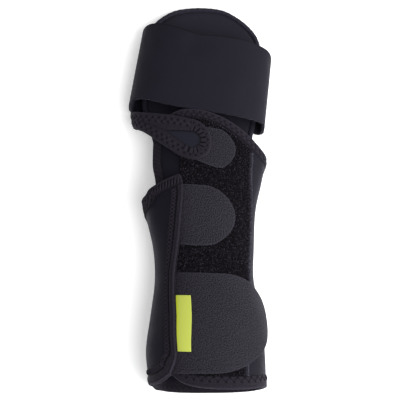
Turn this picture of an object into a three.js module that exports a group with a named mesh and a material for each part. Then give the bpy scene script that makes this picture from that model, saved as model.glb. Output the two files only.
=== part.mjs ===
// A splint for the right wrist, hand and fingers, lying on its palm side.
// Millimetres: +X to the little finger, +Y to the fingertips, +Z out of the back of the hand.
import * as THREE from "three";
import { mergeVertices } from "three/addons/utils/BufferGeometryUtils.js";

// Walls, and the heights of the layers above the outer face of the body wrap.
const WALL = 3;
const STRAP_WALL = 2.6;
const LOOP_LAYER = { low: 0.5, high: 1.6 };
const TAB_LAYER = { low: 2.3, high: 3.5 };
const LABEL_LAYER = { low: 3.9, high: 4.5 };
const FLAP_FRONT = 5;
const STRAP_FRONT = 4;

// The angles, in degrees round the form, between which the flap and the strap climb over the layers.
const FLAP_CLIMB = { from: 198, to: 140 };
const STRAP_CLIMB = { from: 226, to: 140 };

// The form that the cloth is wrapped on: its sides and its top at each section along the arm.
const FORM = [
  { y: -159, left: -35.2, right: 52.2, top: 60 },
  { y: -130, left: -38.6, right: 51.2, top: 60 },
  { y: -100, left: -36, right: 49.2, top: 57 },
  { y: -72, left: -33.5, right: 43.2, top: 52 },
  { y: -45, left: -35, right: 43.4, top: 50 },
  { y: -15, left: -41.5, right: 44.8, top: 49 },
  { y: 10, left: -45.5, right: 50.1, top: 48 },
  { y: 30, left: -47.5, right: 53.7, top: 46 },
  { y: 50, left: -49.2, right: 53, top: 44 },
  { y: 70, left: -52.5, right: 51.5, top: 42 },
];
const ROUND = { up: 2.2, low: 3.2 };
const WAIST = 0.42;
const SINK = 6;

// Edges of the large pieces, by their X on the back of the hand or their angle round the side.
const WRAP_EDGES = {
  left: [
    { x: -21.5, y: -147.3 }, { x: -26.2, y: -138 }, { x: -28.6, y: -124.7 }, { x: -29, y: -89 },
    { x: -29.3, y: -49 }, { x: -32.5, y: -21 }, { x: -35.2, y: 5.5 }, { x: -37.5, y: 19.7 },
    { x: -37.1, y: 40.2 },
  ],
  top: [
    { x: -37.1, y: 40.2 }, { x: -34.5, y: 50 }, { x: -29.6, y: 56 }, { x: -12, y: 64.2 },
    { x: 15.2, y: 58.7 }, { x: 48.9, y: 33.4 }, { deg: 0, y: 26.3 }, { deg: -30, y: 21 },
    { deg: -60, y: 26 }, { deg: -90, y: 38 }, { deg: -128, y: 66 },
  ],
  right: [
    { deg: -155, y: -157 }, { deg: -155, y: -90 }, { deg: -155, y: -32 }, { deg: -150, y: -22 },
    { deg: -138, y: -8 }, { deg: -129, y: 8 }, { deg: -128, y: 36 }, { deg: -128, y: 66 },
  ],
  bottom: [
    { x: -21.5, y: -147.3 }, { x: -13.3, y: -153.9 }, { x: 5, y: -158 }, { x: 34.5, y: -158.3 },
    { deg: 0, y: -155.6 }, { deg: -90, y: -158.8 }, { deg: -155, y: -157 },
  ],
};
const FLAP_EDGES = {
  left: [{ deg: 204.5, y: -154 }, { deg: 204.5, y: -90 }, { deg: 204.5, y: -28 }],
  top: [
    { deg: 204.5, y: -28 }, { deg: 190, y: -19 }, { deg: 179, y: -11 }, { x: -42.7, y: -6.2 },
    { x: -38, y: -0.9 }, { x: -16.3, y: 9.1 },
  ],
  right: [
    { x: -22.1, y: -147.8 }, { x: -18, y: -138 }, { x: -17.2, y: -130.4 }, { x: -18.4, y: -105 },
    { x: -19.4, y: -67.7 }, { x: -14.1, y: -15.8 }, { x: -14.1, y: 2 }, { x: -16.3, y: 9.1 },
  ],
  bottom: [{ deg: 204.5, y: -154 }, { deg: 180, y: -155 }, { x: -32.6, y: -154 }, { x: -22.1, y: -147.8 }],
};
const LOOP_EDGES = {
  left: [
    { x: -21.5, y: -142.8 }, { x: -23.6, y: -50 }, { x: -20.5, y: -10.5 }, { x: -16.2, y: 8 },
    { x: -16.3, y: 26 }, { x: -16.8, y: 55.8 },
  ],
  top: [
    { x: -16.8, y: 55.8 }, { x: -9.6, y: 58.2 }, { x: 7.2, y: 55.2 }, { x: 27.1, y: 43.9 },
    { x: 35.5, y: 37.6 }, { x: 41, y: 32.6 }, { x: 42.2, y: 29.2 },
  ],
  right: [
    { x: 37.6, y: -148.8 }, { x: 38.4, y: -105.3 }, { x: 39.8, y: -73.5 }, { x: 39.4, y: -60 },
    { x: 40.9, y: -34 }, { x: 42, y: -11 }, { x: 41.4, y: 8 }, { x: 42.2, y: 29.2 },
  ],
  bottom: [{ x: -21.5, y: -142.8 }, { x: -10, y: -147.5 }, { x: 10, y: -149.5 }, { x: 37.6, y: -148.8 }],
};

// Straps and tabs, as cut: their two long edges at each reach round the form from its crown line,
// and the reach, the Y and the roundness of a D-shaped end.
const FOREARM_TAB = {
  rows: [{ reach: -32, low: -147.5, high: -68 }, { reach: 9.5, low: -147.6, high: -69.5 }],
  end: { reach: 64.6, y: -103.5, round: 1.67 },
};
const WRIST_TAB = {
  rows: [{ reach: -24, low: -45.6, high: 2.6 }, { reach: -1, low: -47.6, high: 0.9 }],
  end: { reach: 26.2, y: -22.9, round: 1.83 },
};
const THUMB_TAB = {
  rows: [{ reach: -8, low: 22.5, high: 49.6 }, { reach: 10.8, low: 14.8, high: 47.6 }],
  end: { reach: 25.4, y: 30, round: 1.84 },
};
const THUMB_STRAP = {
  rows: [
    { reach: -103.8, low: 50, high: 66 }, { reach: -90, low: 55.5, high: 69.9 },
    { reach: -70, low: 53.6, high: 67 }, { reach: -50, low: 47.3, high: 62.6 },
    { reach: -30, low: 33, high: 59 }, { reach: -20, low: 25.9, high: 57 },
    { reach: -10.4, low: 22.2, high: 54.7 },
  ],
  end: { reach: 5.4, y: 36.3, round: 2.23 },
};
const SIDE_LABEL = {
  rows: [{ reach: -30, low: -130.2, high: -86.2 }, { reach: -13.2, low: -131, high: -87 }],
};
const END_POINTS = 13;
const END_TURN = 3;

// The finger band: a loop on its own axis, flat underneath.
const BAND = { x: 1.7, y: 94.1, turn: -9, low: -30, high: 33.5, wall: 2.2 };
const BAND_FORM = { lowHalf: 56.2, highHalf: 54.1, waist: 20, top: 43, sink: 8, up: 2.4, down: 4 };
const BAND_SHIFT = { low: 0.4, high: -0.5 };
// Its upper edge: a round corner on each side, a slope on the right, a rise on the left and a hollow.
const BAND_CORNER = { left: { wide: 9, deep: 6 }, right: { wide: 6, deep: 4.5 } };
const BAND_SLOPE = { wide: 20, deep: 4.5 };
const BAND_RISE = { from: 8, wide: 30, high: 3.6 };
const BAND_HOLLOW = { x: -4, wide: 10, deep: 1.4 };
// Its lower edge: a bow over the left opening, and a lip underneath on the right.
const BAND_BOW = { x: -46, wide: 17, high: 3.2, ease: 5 };
const BAND_LIP = { from: 0.5, to: 0.95, right: 4, left: 2.4, ease: 8 };

// The paddle: its outline, the width of its bound edge, and the heights of both.
const PADDLE = [
  { y: -48, left: -20, right: 23 },
  { y: -42, left: -26.5, right: 30.5 },
  { y: -20, left: -30.5, right: 34 },
  { y: 5, left: -33, right: 38.5 },
  { y: 30, left: -36, right: 41 },
  { y: 50, left: -40, right: 43.3 },
  { y: 62, left: -44.2, right: 46 },
  { y: 76, left: -48, right: 48.4 },
  { y: 92, left: -46.8, right: 50.5 },
  { y: 112, left: -43.6, right: 52.6 },
  { y: 127, left: -41.3, right: 49.7 },
  { y: 136, left: -41.2, right: 46 },
  { y: 144.4, left: -38.8, right: 38.8 },
  { y: 152, left: -30.2, right: 28.8 },
  { y: 157.3, left: -18.4, right: 17.4 },
];
const PADDLE_TIP = 159.1;
const PADDLE_POINTS = 48;
const BINDING = { width: 4, low: 3.4, high: 10.2, soft: 0.9 };
const PAD = { low: 3.8, high: 9.6, soft: 0.8 };
const GAP = 0.4;

const { lerp, degToRad, smoothstep } = THREE.MathUtils;

// A column of a table, read smoothly between its rows.
function along(rows, key, y) {
  const last = rows.length - 1;
  const t = THREE.MathUtils.clamp(y, rows[0].y, rows[last].y);
  const found = rows.findIndex((row) => row.y > t);
  const i = found < 0 ? last - 1 : found - 1;
  const slope = (k) => {
    const a = rows[Math.max(k - 1, 0)];
    const b = rows[Math.min(k + 1, last)];
    return (b[key] - a[key]) / (b.y - a.y);
  };
  const step = rows[i + 1].y - rows[i].y;
  const s = (t - rows[i].y) / step;
  const rise = s * (1 - s) * step * ((1 - s) * slope(i) - s * slope(i + 1));
  return lerp(rows[i][key], rows[i + 1][key], s * s * (3 - 2 * s)) + rise;
}

// A point of a rounded section at an angle from +X, moved out along the section's own normal.
function onSection(section, degrees, height) {
  const at = (deg) => {
    const c = Math.cos(degToRad(deg));
    const s = Math.sin(degToRad(deg));
    const power = s >= 0 ? section.up : section.down;
    const rise = s >= 0 ? section.top - section.waist : section.waist + section.sink;
    return new THREE.Vector2(
      section.x + section.half * Math.sign(c) * Math.abs(c) ** (2 / power),
      section.waist + rise * Math.sign(s) * Math.abs(s) ** (2 / power),
    );
  };
  const run = at(degrees + 0.5).sub(at(degrees - 0.5)).normalize();
  return at(degrees).add(new THREE.Vector2(run.y, -run.x).multiplyScalar(height));
}

// A point on the form, at a height above the body wrap's outer face; flat where it rests.
function onForm(degrees, y, height) {
  const left = along(FORM, "left", y);
  const right = along(FORM, "right", y);
  const top = along(FORM, "top", y);
  const section = { x: (left + right) / 2, half: (right - left) / 2, top, waist: WAIST * top };
  const p = onSection({ ...section, sink: SINK, up: ROUND.up, down: ROUND.low }, degrees, height);
  return new THREE.Vector3(p.x, y, Math.max(p.y, -height));
}

// The angle at which the form has a given X on the back of the hand.
function angleOfX(x, y, height) {
  let near = 0;
  let far = 180;
  while (far - near > 1e-4) {
    const middle = (near + far) / 2;
    if (onForm(middle, y, height).x > x) near = middle;
    else far = middle;
  }
  return near;
}

// The angle at a distance round the form from its crown line.
function angleOfReach(reach, y, height) {
  const turn = reach > 0 ? -1 : 1;
  let left = Math.abs(reach);
  let degrees = 90;
  let step = 0;
  for (; left > step; degrees += turn) {
    left -= step;
    step = onForm(degrees, y, height).distanceTo(onForm(degrees + turn, y, height));
  }
  return degrees - turn * (1 - left / step);
}

// Edges as points of angle and Y: from rows of a table, or of a strap with a straight or a D-shaped end.
function edgesOf(tables, height) {
  const angle = (row) => ("deg" in row ? row.deg : angleOfX(row.x, row.y, height));
  const points = (rows) => rows.map((row) => new THREE.Vector2(angle(row), row.y));
  return Object.fromEntries(Object.entries(tables).map(([name, rows]) => [name, points(rows)]));
}
function strapEdges({ rows, end }, height) {
  const at = (reach, y) => new THREE.Vector2(angleOfReach(reach, y, height), y);
  const across = (row) => [0, 0.5, 1].map((s) => at(row.reach, lerp(row.low, row.high, s)));
  const last = rows.at(-1);
  const curl = (value, round) => Math.sign(value) * Math.abs(value) ** (2 / round);
  const round = (_, k) => {
    const turn = Math.PI * (k / (END_POINTS - 1) - 0.5);
    const out = curl(Math.cos(turn), end.round);
    const middle = lerp((last.low + last.high) / 2, end.y, out);
    const rise = ((last.high - last.low) / 2) * curl(Math.sin(turn), end.round);
    return at(lerp(last.reach, end.reach, out), middle + rise);
  };
  const tip = end ? Array.from({ length: END_POINTS }, round) : [];
  return {
    left: across(rows[0]),
    top: [...rows.map((row) => at(row.reach, row.high)), ...tip.slice(-1 - END_TURN, -1).reverse()],
    right: end ? tip.slice(END_TURN, -END_TURN) : across(last),
    bottom: [...rows.map((row) => at(row.reach, row.low)), ...tip.slice(1, END_TURN + 1)],
  };
}

// A sheet between four edges, as a closed solid on the form. Edges run left to right or upwards.
function sheet({ bottom, top, left, right }, cells, layer) {
  const [b, t, l, r] = [bottom, top, left, right].map((points) => new THREE.SplineCurve(points));
  const geometry = new THREE.BoxGeometry(1, 1, 1, cells.across, cells.along, 1);
  geometry.deleteAttribute("normal");
  geometry.deleteAttribute("uv");
  const position = geometry.getAttribute("position");
  for (let i = 0; i < position.count; i += 1) {
    const u = position.getX(i) + 0.5;
    const v = position.getY(i) + 0.5;
    const place = b.getPointAt(u).multiplyScalar(1 - v);
    place.addScaledVector(t.getPointAt(u), v);
    place.addScaledVector(l.getPointAt(v), 1 - u).addScaledVector(r.getPointAt(v), u);
    place.addScaledVector(b.getPointAt(0), (u - 1) * (1 - v));
    place.addScaledVector(b.getPointAt(1), -u * (1 - v));
    place.addScaledVector(t.getPointAt(0), (u - 1) * v).addScaledVector(t.getPointAt(1), -u * v);
    const { low, high } = layer(place.x);
    const p = onForm(place.x, place.y, lerp(low, high, position.getZ(i) + 0.5));
    position.setXYZ(i, p.x, p.y, p.z);
  }
  return mergeVertices(geometry, 1e-4);
}

const flat = (layer) => () => layer;
const climb = (range, wall, front) => (degrees) => {
  const low = lerp(-wall, front, smoothstep(-degrees, -range.from, -range.to));
  return { low, high: low + wall };
};
const onLayer = (strap, cells, layer) => sheet(strapEdges(strap, layer.high), cells, flat(layer));

const bodyWrap = sheet(
  edgesOf(WRAP_EDGES, 0),
  { across: 34, along: 22 },
  flat({ low: -WALL, high: 0 }),
);
const forearmFlap = sheet(
  edgesOf(FLAP_EDGES, FLAP_FRONT + WALL / 2),
  { across: 13, along: 18 },
  climb(FLAP_CLIMB, WALL, FLAP_FRONT),
);
const loopPanel = sheet(
  edgesOf(LOOP_EDGES, LOOP_LAYER.high),
  { across: 12, along: 18 },
  flat(LOOP_LAYER),
);
const thumbStrap = sheet(
  strapEdges(THUMB_STRAP, STRAP_FRONT + STRAP_WALL / 2),
  { across: 18, along: 6 },
  climb(STRAP_CLIMB, STRAP_WALL, STRAP_FRONT),
);
const forearmTab = onLayer(FOREARM_TAB, { across: 12, along: 14 }, TAB_LAYER);
const wristTab = onLayer(WRIST_TAB, { across: 9, along: 12 }, TAB_LAYER);
const thumbTab = onLayer(THUMB_TAB, { across: 8, along: 10 }, TAB_LAYER);
const sideLabel = onLayer(SIDE_LABEL, { across: 4, along: 6 }, LABEL_LAYER);

// The lower and the upper edge of the band, at a point of its section.
function bandEdges({ x, y }, { half, waist }) {
  const corner = (far, { wide, deep }) => {
    const t = THREE.MathUtils.clamp((far - half + wide) / wide, 0, 1);
    return deep * (1 - Math.sqrt(1 - t * t));
  };
  const bell = (centre, wide) => Math.exp(-(((x - centre) / wide) ** 2));
  const slope = THREE.MathUtils.clamp((x - half + BAND_SLOPE.wide) / BAND_SLOPE.wide, 0, 1);
  const rise = BAND_RISE.high * smoothstep(-x, BAND_RISE.from, BAND_RISE.from + BAND_RISE.wide);
  const dip = corner(-x, BAND_CORNER.left) + corner(x, BAND_CORNER.right) + BAND_SLOPE.deep * slope
    + BAND_HOLLOW.deep * bell(BAND_HOLLOW.x, BAND_HOLLOW.wide) - rise;
  const above = y > waist ? smoothstep(x + half, 0, BAND_BOW.ease) : 0;
  const bow = BAND_BOW.high * bell(BAND_BOW.x, BAND_BOW.wide) * above;
  const under = smoothstep(-y, -waist - BAND_LIP.ease, -waist + BAND_LIP.ease);
  const deep = x > 0 ? BAND_LIP.right : BAND_LIP.left;
  const lip = deep * under * smoothstep(Math.abs(x), BAND_LIP.from * half, BAND_LIP.to * half);
  return { low: BAND.low + bow - lip, high: BAND.high - dip };
}

// The band: a closed profile turned about its axis, then laid on the band's own section.
function bandLoop() {
  const steps = [0, 0.2, 0.4, 0.6, 0.8, 1];
  const inside = steps.map((s) => new THREE.Vector2(1, s));
  const outside = steps.map((s) => new THREE.Vector2(2, s));
  const profile = [...inside, ...outside.reverse(), inside[0]].reverse();
  const geometry = new THREE.LatheGeometry(profile, 44);
  geometry.deleteAttribute("normal");
  geometry.deleteAttribute("uv");
  const position = geometry.getAttribute("position");
  for (let i = 0; i < position.count; i += 1) {
    const angle = THREE.MathUtils.radToDeg(Math.atan2(position.getZ(i), position.getX(i)));
    const height = Math.round(Math.hypot(position.getX(i), position.getZ(i)) - 2) * BAND.wall;
    const s = position.getY(i);
    const section = { ...BAND_FORM, x: 0, half: lerp(BAND_FORM.lowHalf, BAND_FORM.highHalf, s) };
    const p = onSection(section, angle, height);
    const edge = bandEdges(p, section);
    const x = p.x + lerp(BAND_SHIFT.low, BAND_SHIFT.high, s);
    position.setXYZ(i, x, lerp(edge.low, edge.high, s), Math.max(p.y, -height));
  }
  return mergeVertices(geometry, 1e-3);
}

// The paddle's outline, moved in from its edge.
function paddleOutline(inset) {
  const edge = [
    ...PADDLE.map((row) => new THREE.Vector2(row.right, row.y)),
    new THREE.Vector2(0, PADDLE_TIP),
    ...PADDLE.map((row) => new THREE.Vector2(row.left, row.y)).reverse(),
  ];
  const curve = new THREE.SplineCurve([...edge, edge[0].clone()]);
  return Array.from({ length: PADDLE_POINTS }, (_, k) => {
    const t = k / PADDLE_POINTS;
    const run = curve.getTangentAt(t);
    return curve.getPointAt(t).add(new THREE.Vector2(-run.y, run.x).multiplyScalar(inset));
  });
}

// A flat piece between two heights, with softened edges.
function slab(shape, { low, high, soft }) {
  const depth = high - low - 2 * soft;
  const bevel = { bevelThickness: soft, bevelSize: soft, bevelOffset: -soft, bevelSegments: 2 };
  const geometry = new THREE.ExtrudeGeometry(shape, { depth, steps: 1, ...bevel });
  return geometry.translate(0, 0, low + soft);
}

const paddleRim = new THREE.Shape(paddleOutline(0));
paddleRim.holes.push(new THREE.Path(paddleOutline(BINDING.width).reverse()));
const paddlePad = new THREE.Shape(paddleOutline(BINDING.width + GAP));

const cloth = (color, roughness) => new THREE.MeshStandardMaterial({ color, roughness, metalness: 0 });
const neoprene = cloth(0x262429, 0.62);
const knit = cloth(0x26242e, 0.7);
const tape = cloth(0x2a2830, 0.8);
const hook = cloth(0x39373e, 0.9);
const pile = cloth(0x1d191e, 1);
const lime = cloth(0xbac45b, 0.75);

const splint = new THREE.Group();
splint.name = "wrist_and_finger_splint";
function add(name, geometry, material) {
  const mesh = new THREE.Mesh(geometry, material);
  mesh.name = name;
  splint.add(mesh);
  return mesh;
}

add("body_wrap", bodyWrap, neoprene);
add("forearm_flap", forearmFlap, neoprene);
add("loop_panel", loopPanel, pile);
add("forearm_tab", forearmTab, hook);
add("wrist_tab", wristTab, hook);
add("thumb_tab", thumbTab, hook);
add("thumb_strap", thumbStrap, neoprene);
add("side_label", sideLabel, lime);
add("finger_paddle", slab(paddlePad, PAD), neoprene);
add("paddle_binding", slab(paddleRim, BINDING), tape);

const band = add("finger_band", bandLoop(), knit);
band.rotation.z = degToRad(BAND.turn);
band.position.set(BAND.x, BAND.y, 0);

export default splint;
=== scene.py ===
"""A wrist, hand and finger splint: its cloth, tape, stitches and pile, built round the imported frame."""

import math

import bpy
import numpy as np
from bpy.props import FloatProperty, FloatVectorProperty, PointerProperty
from bpy.types import Operator, Panel, PropertyGroup
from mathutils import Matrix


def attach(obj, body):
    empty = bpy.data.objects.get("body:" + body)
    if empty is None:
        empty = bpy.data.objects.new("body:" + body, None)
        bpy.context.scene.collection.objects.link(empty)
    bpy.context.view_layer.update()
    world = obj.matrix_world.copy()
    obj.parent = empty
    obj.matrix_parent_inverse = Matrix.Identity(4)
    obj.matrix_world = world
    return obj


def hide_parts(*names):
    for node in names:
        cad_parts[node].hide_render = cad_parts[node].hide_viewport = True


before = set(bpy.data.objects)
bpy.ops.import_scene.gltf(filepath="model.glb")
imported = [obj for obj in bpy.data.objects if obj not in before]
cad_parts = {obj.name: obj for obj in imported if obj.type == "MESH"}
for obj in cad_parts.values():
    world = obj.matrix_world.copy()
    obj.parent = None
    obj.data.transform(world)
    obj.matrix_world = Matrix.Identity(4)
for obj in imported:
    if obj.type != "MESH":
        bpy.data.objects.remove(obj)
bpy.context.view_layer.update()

bl_info = {
    "name": "Wrist, hand and finger splint",
    "version": (1, 0, 0),
    "blender": (4, 5, 0),
    "location": "3D View > Sidebar > Splint",
    "description": "Makes the cloth, tape, stitches and pile of a wrist, hand and finger splint",
    "category": "Object",
}

MM = 0.001
TINY = 1e-9

# The form that the cloth is wrapped on, in millimetres: Y, left side, right side, top.
FORM = np.array([
    (-159, -35.2, 52.2, 60), (-130, -38.6, 51.2, 60), (-100, -36, 49.2, 57), (-72, -33.5, 43.2, 52),
    (-45, -35, 43.4, 50), (-15, -41.5, 44.8, 49), (10, -45.5, 50.1, 48), (30, -47.5, 53.7, 46),
    (50, -49.2, 53, 44), (70, -52.5, 51.5, 42),
])
# Its section: the waist's share of the height, how deep the lower half would go, how square each half is.
FORM_WAIST = 0.42
FORM_SECTION = dict(sink=6, up=2.2, low=3.2)
# Its middle, in X and Z, and the angle of its crown line.
FORM_MIDDLE = (3 * MM, 20 * MM)
CROWN = 90

# Soft dents of the form: angle, Y, half width in degrees, half length, height.
DENTS = np.array([
    (158, -66, 20, 34, -1.3), (140, -18, 14, 16, 0.8), (128, -112, 12, 24, 0.5), (22, -72, 14, 24, -1.0),
    (28, -128, 16, 22, 0.7), (40, 8, 12, 22, -0.8), (16, 34, 12, 16, 0.6), (-40, -60, 30, 40, -1.0),
    (112, 24, 10, 16, -0.6), (165, -130, 14, 20, 0.6),
])

# Inner and outer face of each layer, above the wrap's outer face.
LOOP_LAYER = (0.5, 1.2)
TAB_LAYER = (2.3, 3.5)
LABEL_LAYER = (3.9, 4.5)
# The flap and the strap climb over the layers: their height in front, and the angles of the climb.
FLAP_FRONT = 5
FLAP_CLIMB = (198, 140)
STRAP_FRONT = 4
STRAP_CLIMB = (226, 140)


def by_x(*rows):
    return [("x", x, y) for x, y in rows]


def by_angle(*rows):
    return [("angle", degrees, y) for degrees, y in rows]


# Cut edges of the sheets, by X or by angle, and Y.
WRAP_EDGES = {
    "left": by_x((-21.5, -147.3), (-26.2, -138), (-28.6, -124.7), (-29, -89), (-29.3, -49), (-32.5, -21),
                 (-35.2, 5.5), (-37.5, 19.7), (-37.1, 40.2)),
    "top": by_x((-37.1, 40.2), (-34.5, 50), (-29.6, 56), (-12, 64.2), (15.2, 58.7), (48.9, 33.4))
    + by_angle((0, 26.3), (-30, 21), (-60, 26), (-90, 38), (-128, 66)),
    "right": by_angle((-155, -157), (-155, -90), (-155, -32), (-150, -22), (-138, -8), (-129, 8), (-128, 36),
                      (-128, 66)),
    "bottom": by_x((-21.5, -147.3), (-13.3, -153.9), (5, -158), (34.5, -158.3))
    + by_angle((0, -155.6), (-90, -158.8), (-155, -157)),
}
FLAP_EDGES = {
    "left": by_angle((204.5, -157), (204.5, -90), (204.5, -28)),
    "top": by_angle((204.5, -28), (190, -19), (179, -11)) + by_x((-42.7, -6.2), (-38, -0.9), (-16.3, 9.1)),
    "right": by_x((-22.1, -147.8), (-18.6, -138), (-18, -130.4), (-19, -105), (-19.4, -67.7), (-14.1, -15.8),
                  (-14.1, 2), (-16.3, 9.1)),
    "bottom": by_angle((204.5, -157), (192, -157), (180, -155)) + by_x((-32.6, -154), (-22.1, -147.8)),
}
LOOP_EDGES = {
    "left": by_x((-21.5, -142.8), (-23.6, -50), (-20.5, -10.5), (-16.2, 8), (-16.3, 26), (-16.8, 55.8)),
    "top": by_x((-16.8, 55.8), (-9.6, 58.2), (7.2, 55.2), (27.1, 43.9), (35.5, 37.6), (41, 32.6),
                (42.2, 29.2)),
    "right": by_x((37.6, -148.8), (38.4, -105.3), (39.8, -73.5), (39.4, -60), (40.9, -34), (42, -11),
                  (41.4, 8), (42.2, 29.2)),
    "bottom": by_x((-21.5, -142.8), (-10, -147.5), (10, -149.5), (37.6, -148.8)),
}
# The height at which the looped panel's edges lie; its selvedge; and the rows of stitches beside its edges:
# distance in, pitch and length of a stitch.
LOOP_EDGE_HEIGHT = 1.6
SELVEDGE = dict(width=3.3, rise=0.35, row=2.4, pitch=2.8)
LOOP_ROWS = {"right": [(2.7, 3.1, 1.3), (3.9, 4.7, 1.1)], "top": [(0.9, 2.2, 1.5)]}
LOOP_THREAD = dict(rise=0.5, thread=0.26)
# Its pile: how far the grid is shaken, the bare border and the part under a cover's edge, in steps or
# millimetres; the size and the sharpness of the tufts; and width, thickness, shade, lean and foot of a loop.
PILE = dict(shake=0.45, border=0.5, under=1.2, tuft=0.78, sharp=2.4, wide=(0.3, 0.52), thick=(0.14, 0.22),
            shade=(0.6, 1.5), lean=0.35, foot=0.1)

# Straps and tabs, as cut: reach from the crown line, low and high edge; and, of a D end, its reach, Y,
# roundness and how far before it the curve starts.
TABS = {
    "forearm_tab": ([(-32, -147.5, -68), (9.5, -147.6, -69.5)], (64.6, -103.5, 1.67, 4.5)),
    "wrist_tab": ([(-24, -45.6, 2.6), (-1, -47.6, 0.9)], (26.2, -22.9, 1.83, 4.5)),
    "thumb_tab": ([(-8, 22.5, 49.6), (10.8, 14.8, 47.6)], (25.4, 30, 1.84, 4.5)),
}
THUMB_STRAP = (
    [(-103.8, 50, 66), (-90, 55.5, 69.9), (-70, 53.6, 67), (-50, 47.3, 62.6), (-30, 33, 59), (-20, 25.9, 57),
     (-10.4, 22.2, 54.7)],
    (5.4, 36.3, 2.23, 0),
)
SIDE_LABEL = ([(-30, -130.2, -86.2), (-13.2, -131, -87)], None)
# The label's warp and weft threads to a millimetre, and the reach over which its fold shows.
LABEL_THREADS = (3.1, 2.2)
LABEL_FOLD = (-25.0, -22.6)

# The smooth island in the strap's border: its tip and the middle of its round end, in reach and Y.
ISLAND_TIP = (-28.6, 45.1)
ISLAND_END = (-9.1, 37.5)
ISLAND_RADIUS = 6.0

# The wrap's tapes: width, rows of the zigzag and how far its pitch is stretched, height of the puffs, which
# are painted paler as highlight, depth of the pits, which are painted darker as shade, how pale the painted
# highlight on the rim is and how far the inner step and its painted shade are shut.
WRAP_TAPES = {
    "left": dict(width=8.0, rows=None, pale=0.1, shut=0),
    "top": dict(width=6.4, rows=(1.8, 4.6), stretch=1, puff=0.3, depth=0.6, pale=0.45, shut=0.6),
    "bottom": dict(width=9.6, rows=(4.8, 8.6), stretch=1.23, puff=0.12, depth=1, pale=0.35, shut=0),
    "right": dict(width=6.0, rows=(1.6, 4.4), stretch=1, puff=0.3, depth=1, pale=0.2, shut=0),
}
WRAP_INNER_ROWS = (2.2, 5.2)

# The flap's front: widths of its two tapes, rows of its crossed threads, how far these move in at the low
# end, and the Y where they end at the top.
FLAP_WIDTHS = dict(column=9.6, fold=4.2)
FLAP_COLUMN = (4.9, 8.9)
FLAP_SHIFT = 2.6
FLAP_SEAM = -4.5
# Rows of the zigzag at its root; and the overlock on its top: pitch, how far a thread leans and its low end.
FLAP_ROOT_ROWS = (1.5, 3.6)
OVERLOCK = dict(pitch=2.6, lean=1.85, low=1.3)

# The strap's border: rows of its pits, and the distance between the slots round the island.
STRAP_ROWS = (2.8, 6.0)
STRAP_SLOT = 5.4

# The finger band's place, turn and run, the shift of its middle and its half width at both ends, its section
# and the lips under its sides.
BAND_PLACE = (1.7, 94.1)
BAND_TURN = math.radians(-9)
BAND_RUN = (-30, 33.5)
BAND_SHIFT = (0.4, -0.5)
BAND_HALF = (56.2, 54.1)
BAND_SECTION = dict(waist=20, top=43, sink=8, up=2.4, low=4)
BAND_LIP = dict(right=4, left=2.4)
# Its dents: angle, share of the way along, half width in degrees, half length, height; and its cloth's size.
BAND_DENTS = np.array([
    (97, 0.86, 9, 0.13, -1.6), (78, 0.55, 16, 0.25, -0.7), (122, 0.35, 18, 0.3, 0.6),
    (50, 0.3, 14, 0.22, -0.6), (150, 0.75, 14, 0.2, -0.8), (30, 0.8, 12, 0.2, 0.5),
])
BAND_UV = (320, 63)

# The paddle's outline: Y, left, right; the sections of its pad and its welt; and the pad's rings, as shares
# of the way from its edge to its spine.
PADDLE = np.array([
    (-48, -20, 23), (-42, -26.5, 30.5), (-20, -30.5, 34), (5, -33, 38.5), (30, -36, 41), (50, -40, 43.3),
    (62, -44.2, 46), (76, -48, 48.4), (92, -46.8, 50.5), (112, -43.6, 52.6), (127, -41.3, 49.7),
    (136, -41.2, 46), (144.4, -38.8, 38.8), (152, -30.2, 28.8), (157.3, -18.4, 17.4),
])
PADDLE_TIP = 159.1
PAD = dict(inset=3.2, low=3.8, half=2.9, edge=2.6, crown=1.1, fall=11, ridge=6.87, ridge_step=3, spine=1.0,
           spine_run=(-20, 118))
PAD_RINGS = (0.9, 0.75, 0.55, 0.38, 0.25, 0.15, 0.08, 0.04, 0.015, 0.0)
WELT = dict(width=4.0, low=3.4, high=10.2, sides=16, square=0.7, wave=0.035)

# The stage: where the camera looks, its sensor in millimetres, the floor's size and how far it lies below the
# splint; and the lights: place, turn in degrees and size.
CAMERA_AIM = (0, -10 * MM, 45 * MM)
SENSOR = 36
FLOOR_SIZE = 8
FLOOR_DROP = 0.6 * MM
KEY_LIGHT = ((0.6, -0.5, 1.4), (19, 22, 0), 1.0)
SIDE_LIGHT = ((1.25, 0.0, 0.6), (0, 64, 0), 0.9)

# A tape's section: where its face starts in from the rim, and the width and depth of its inner step.
TAPE_FACE = 0.4
TAPE_STEP = 0.5
TAPE_SINK = 1.3
# How far its inner face stands off the cloth.
TAPE_UNDER = 0.3

# Shares of a cloth's own colour: threads of the grain, flecks, the painted shade in needle pits, grooves and
# steps, and the paler rims, a painted highlight on tape rims and puffs and a paler cut edge on the tabs; and
# those of the pile.
TONES = dict(grain=(0.1, 2.1), fleck=2.295, painted_shade=0.12, rim=2.6)
PILE_TONES = dict(loops=(0.05, 13.5), lint=1.6)

# Cells of each sheet's grid, across and along.
CELLS = {
    "wrap_cloth": (150, 130), "flap_cloth": (70, 120), "strap_cloth": (110, 44), "loop_cloth": (50, 120),
    "forearm_tab_cloth": (80, 70), "wrist_tab_cloth": (50, 50), "thumb_tab_cloth": (36, 36),
    "label_ribbon": (24, 60), "band_cloth": (220, 44),
}

# Points along an edge, the step along a sewn line, and every how many points an outline is read.
EDGE_POINTS = 1201
SPLINE_STEPS = 40
LINE_STEP = 0.45
OUTLINE_STRIDE = 12
# How far in a cut edge's paler rim fades, and how far the needle stays from a tape's inner side.
CUT_FADE = 0.5
SEAM_MARGIN = 1.2
# How far along its edges a strap's surface goes before they meet at its tip.
LEAF_REACH = 0.997
# Points round a D end, and how many of them belong to each long edge.
END_POINTS = 13
END_SIDE = 3


def smooth(t):
    """An easy step from 0 to 1."""
    t = np.clip(t, 0, 1)
    return t * t * (3 - 2 * t)


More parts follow.
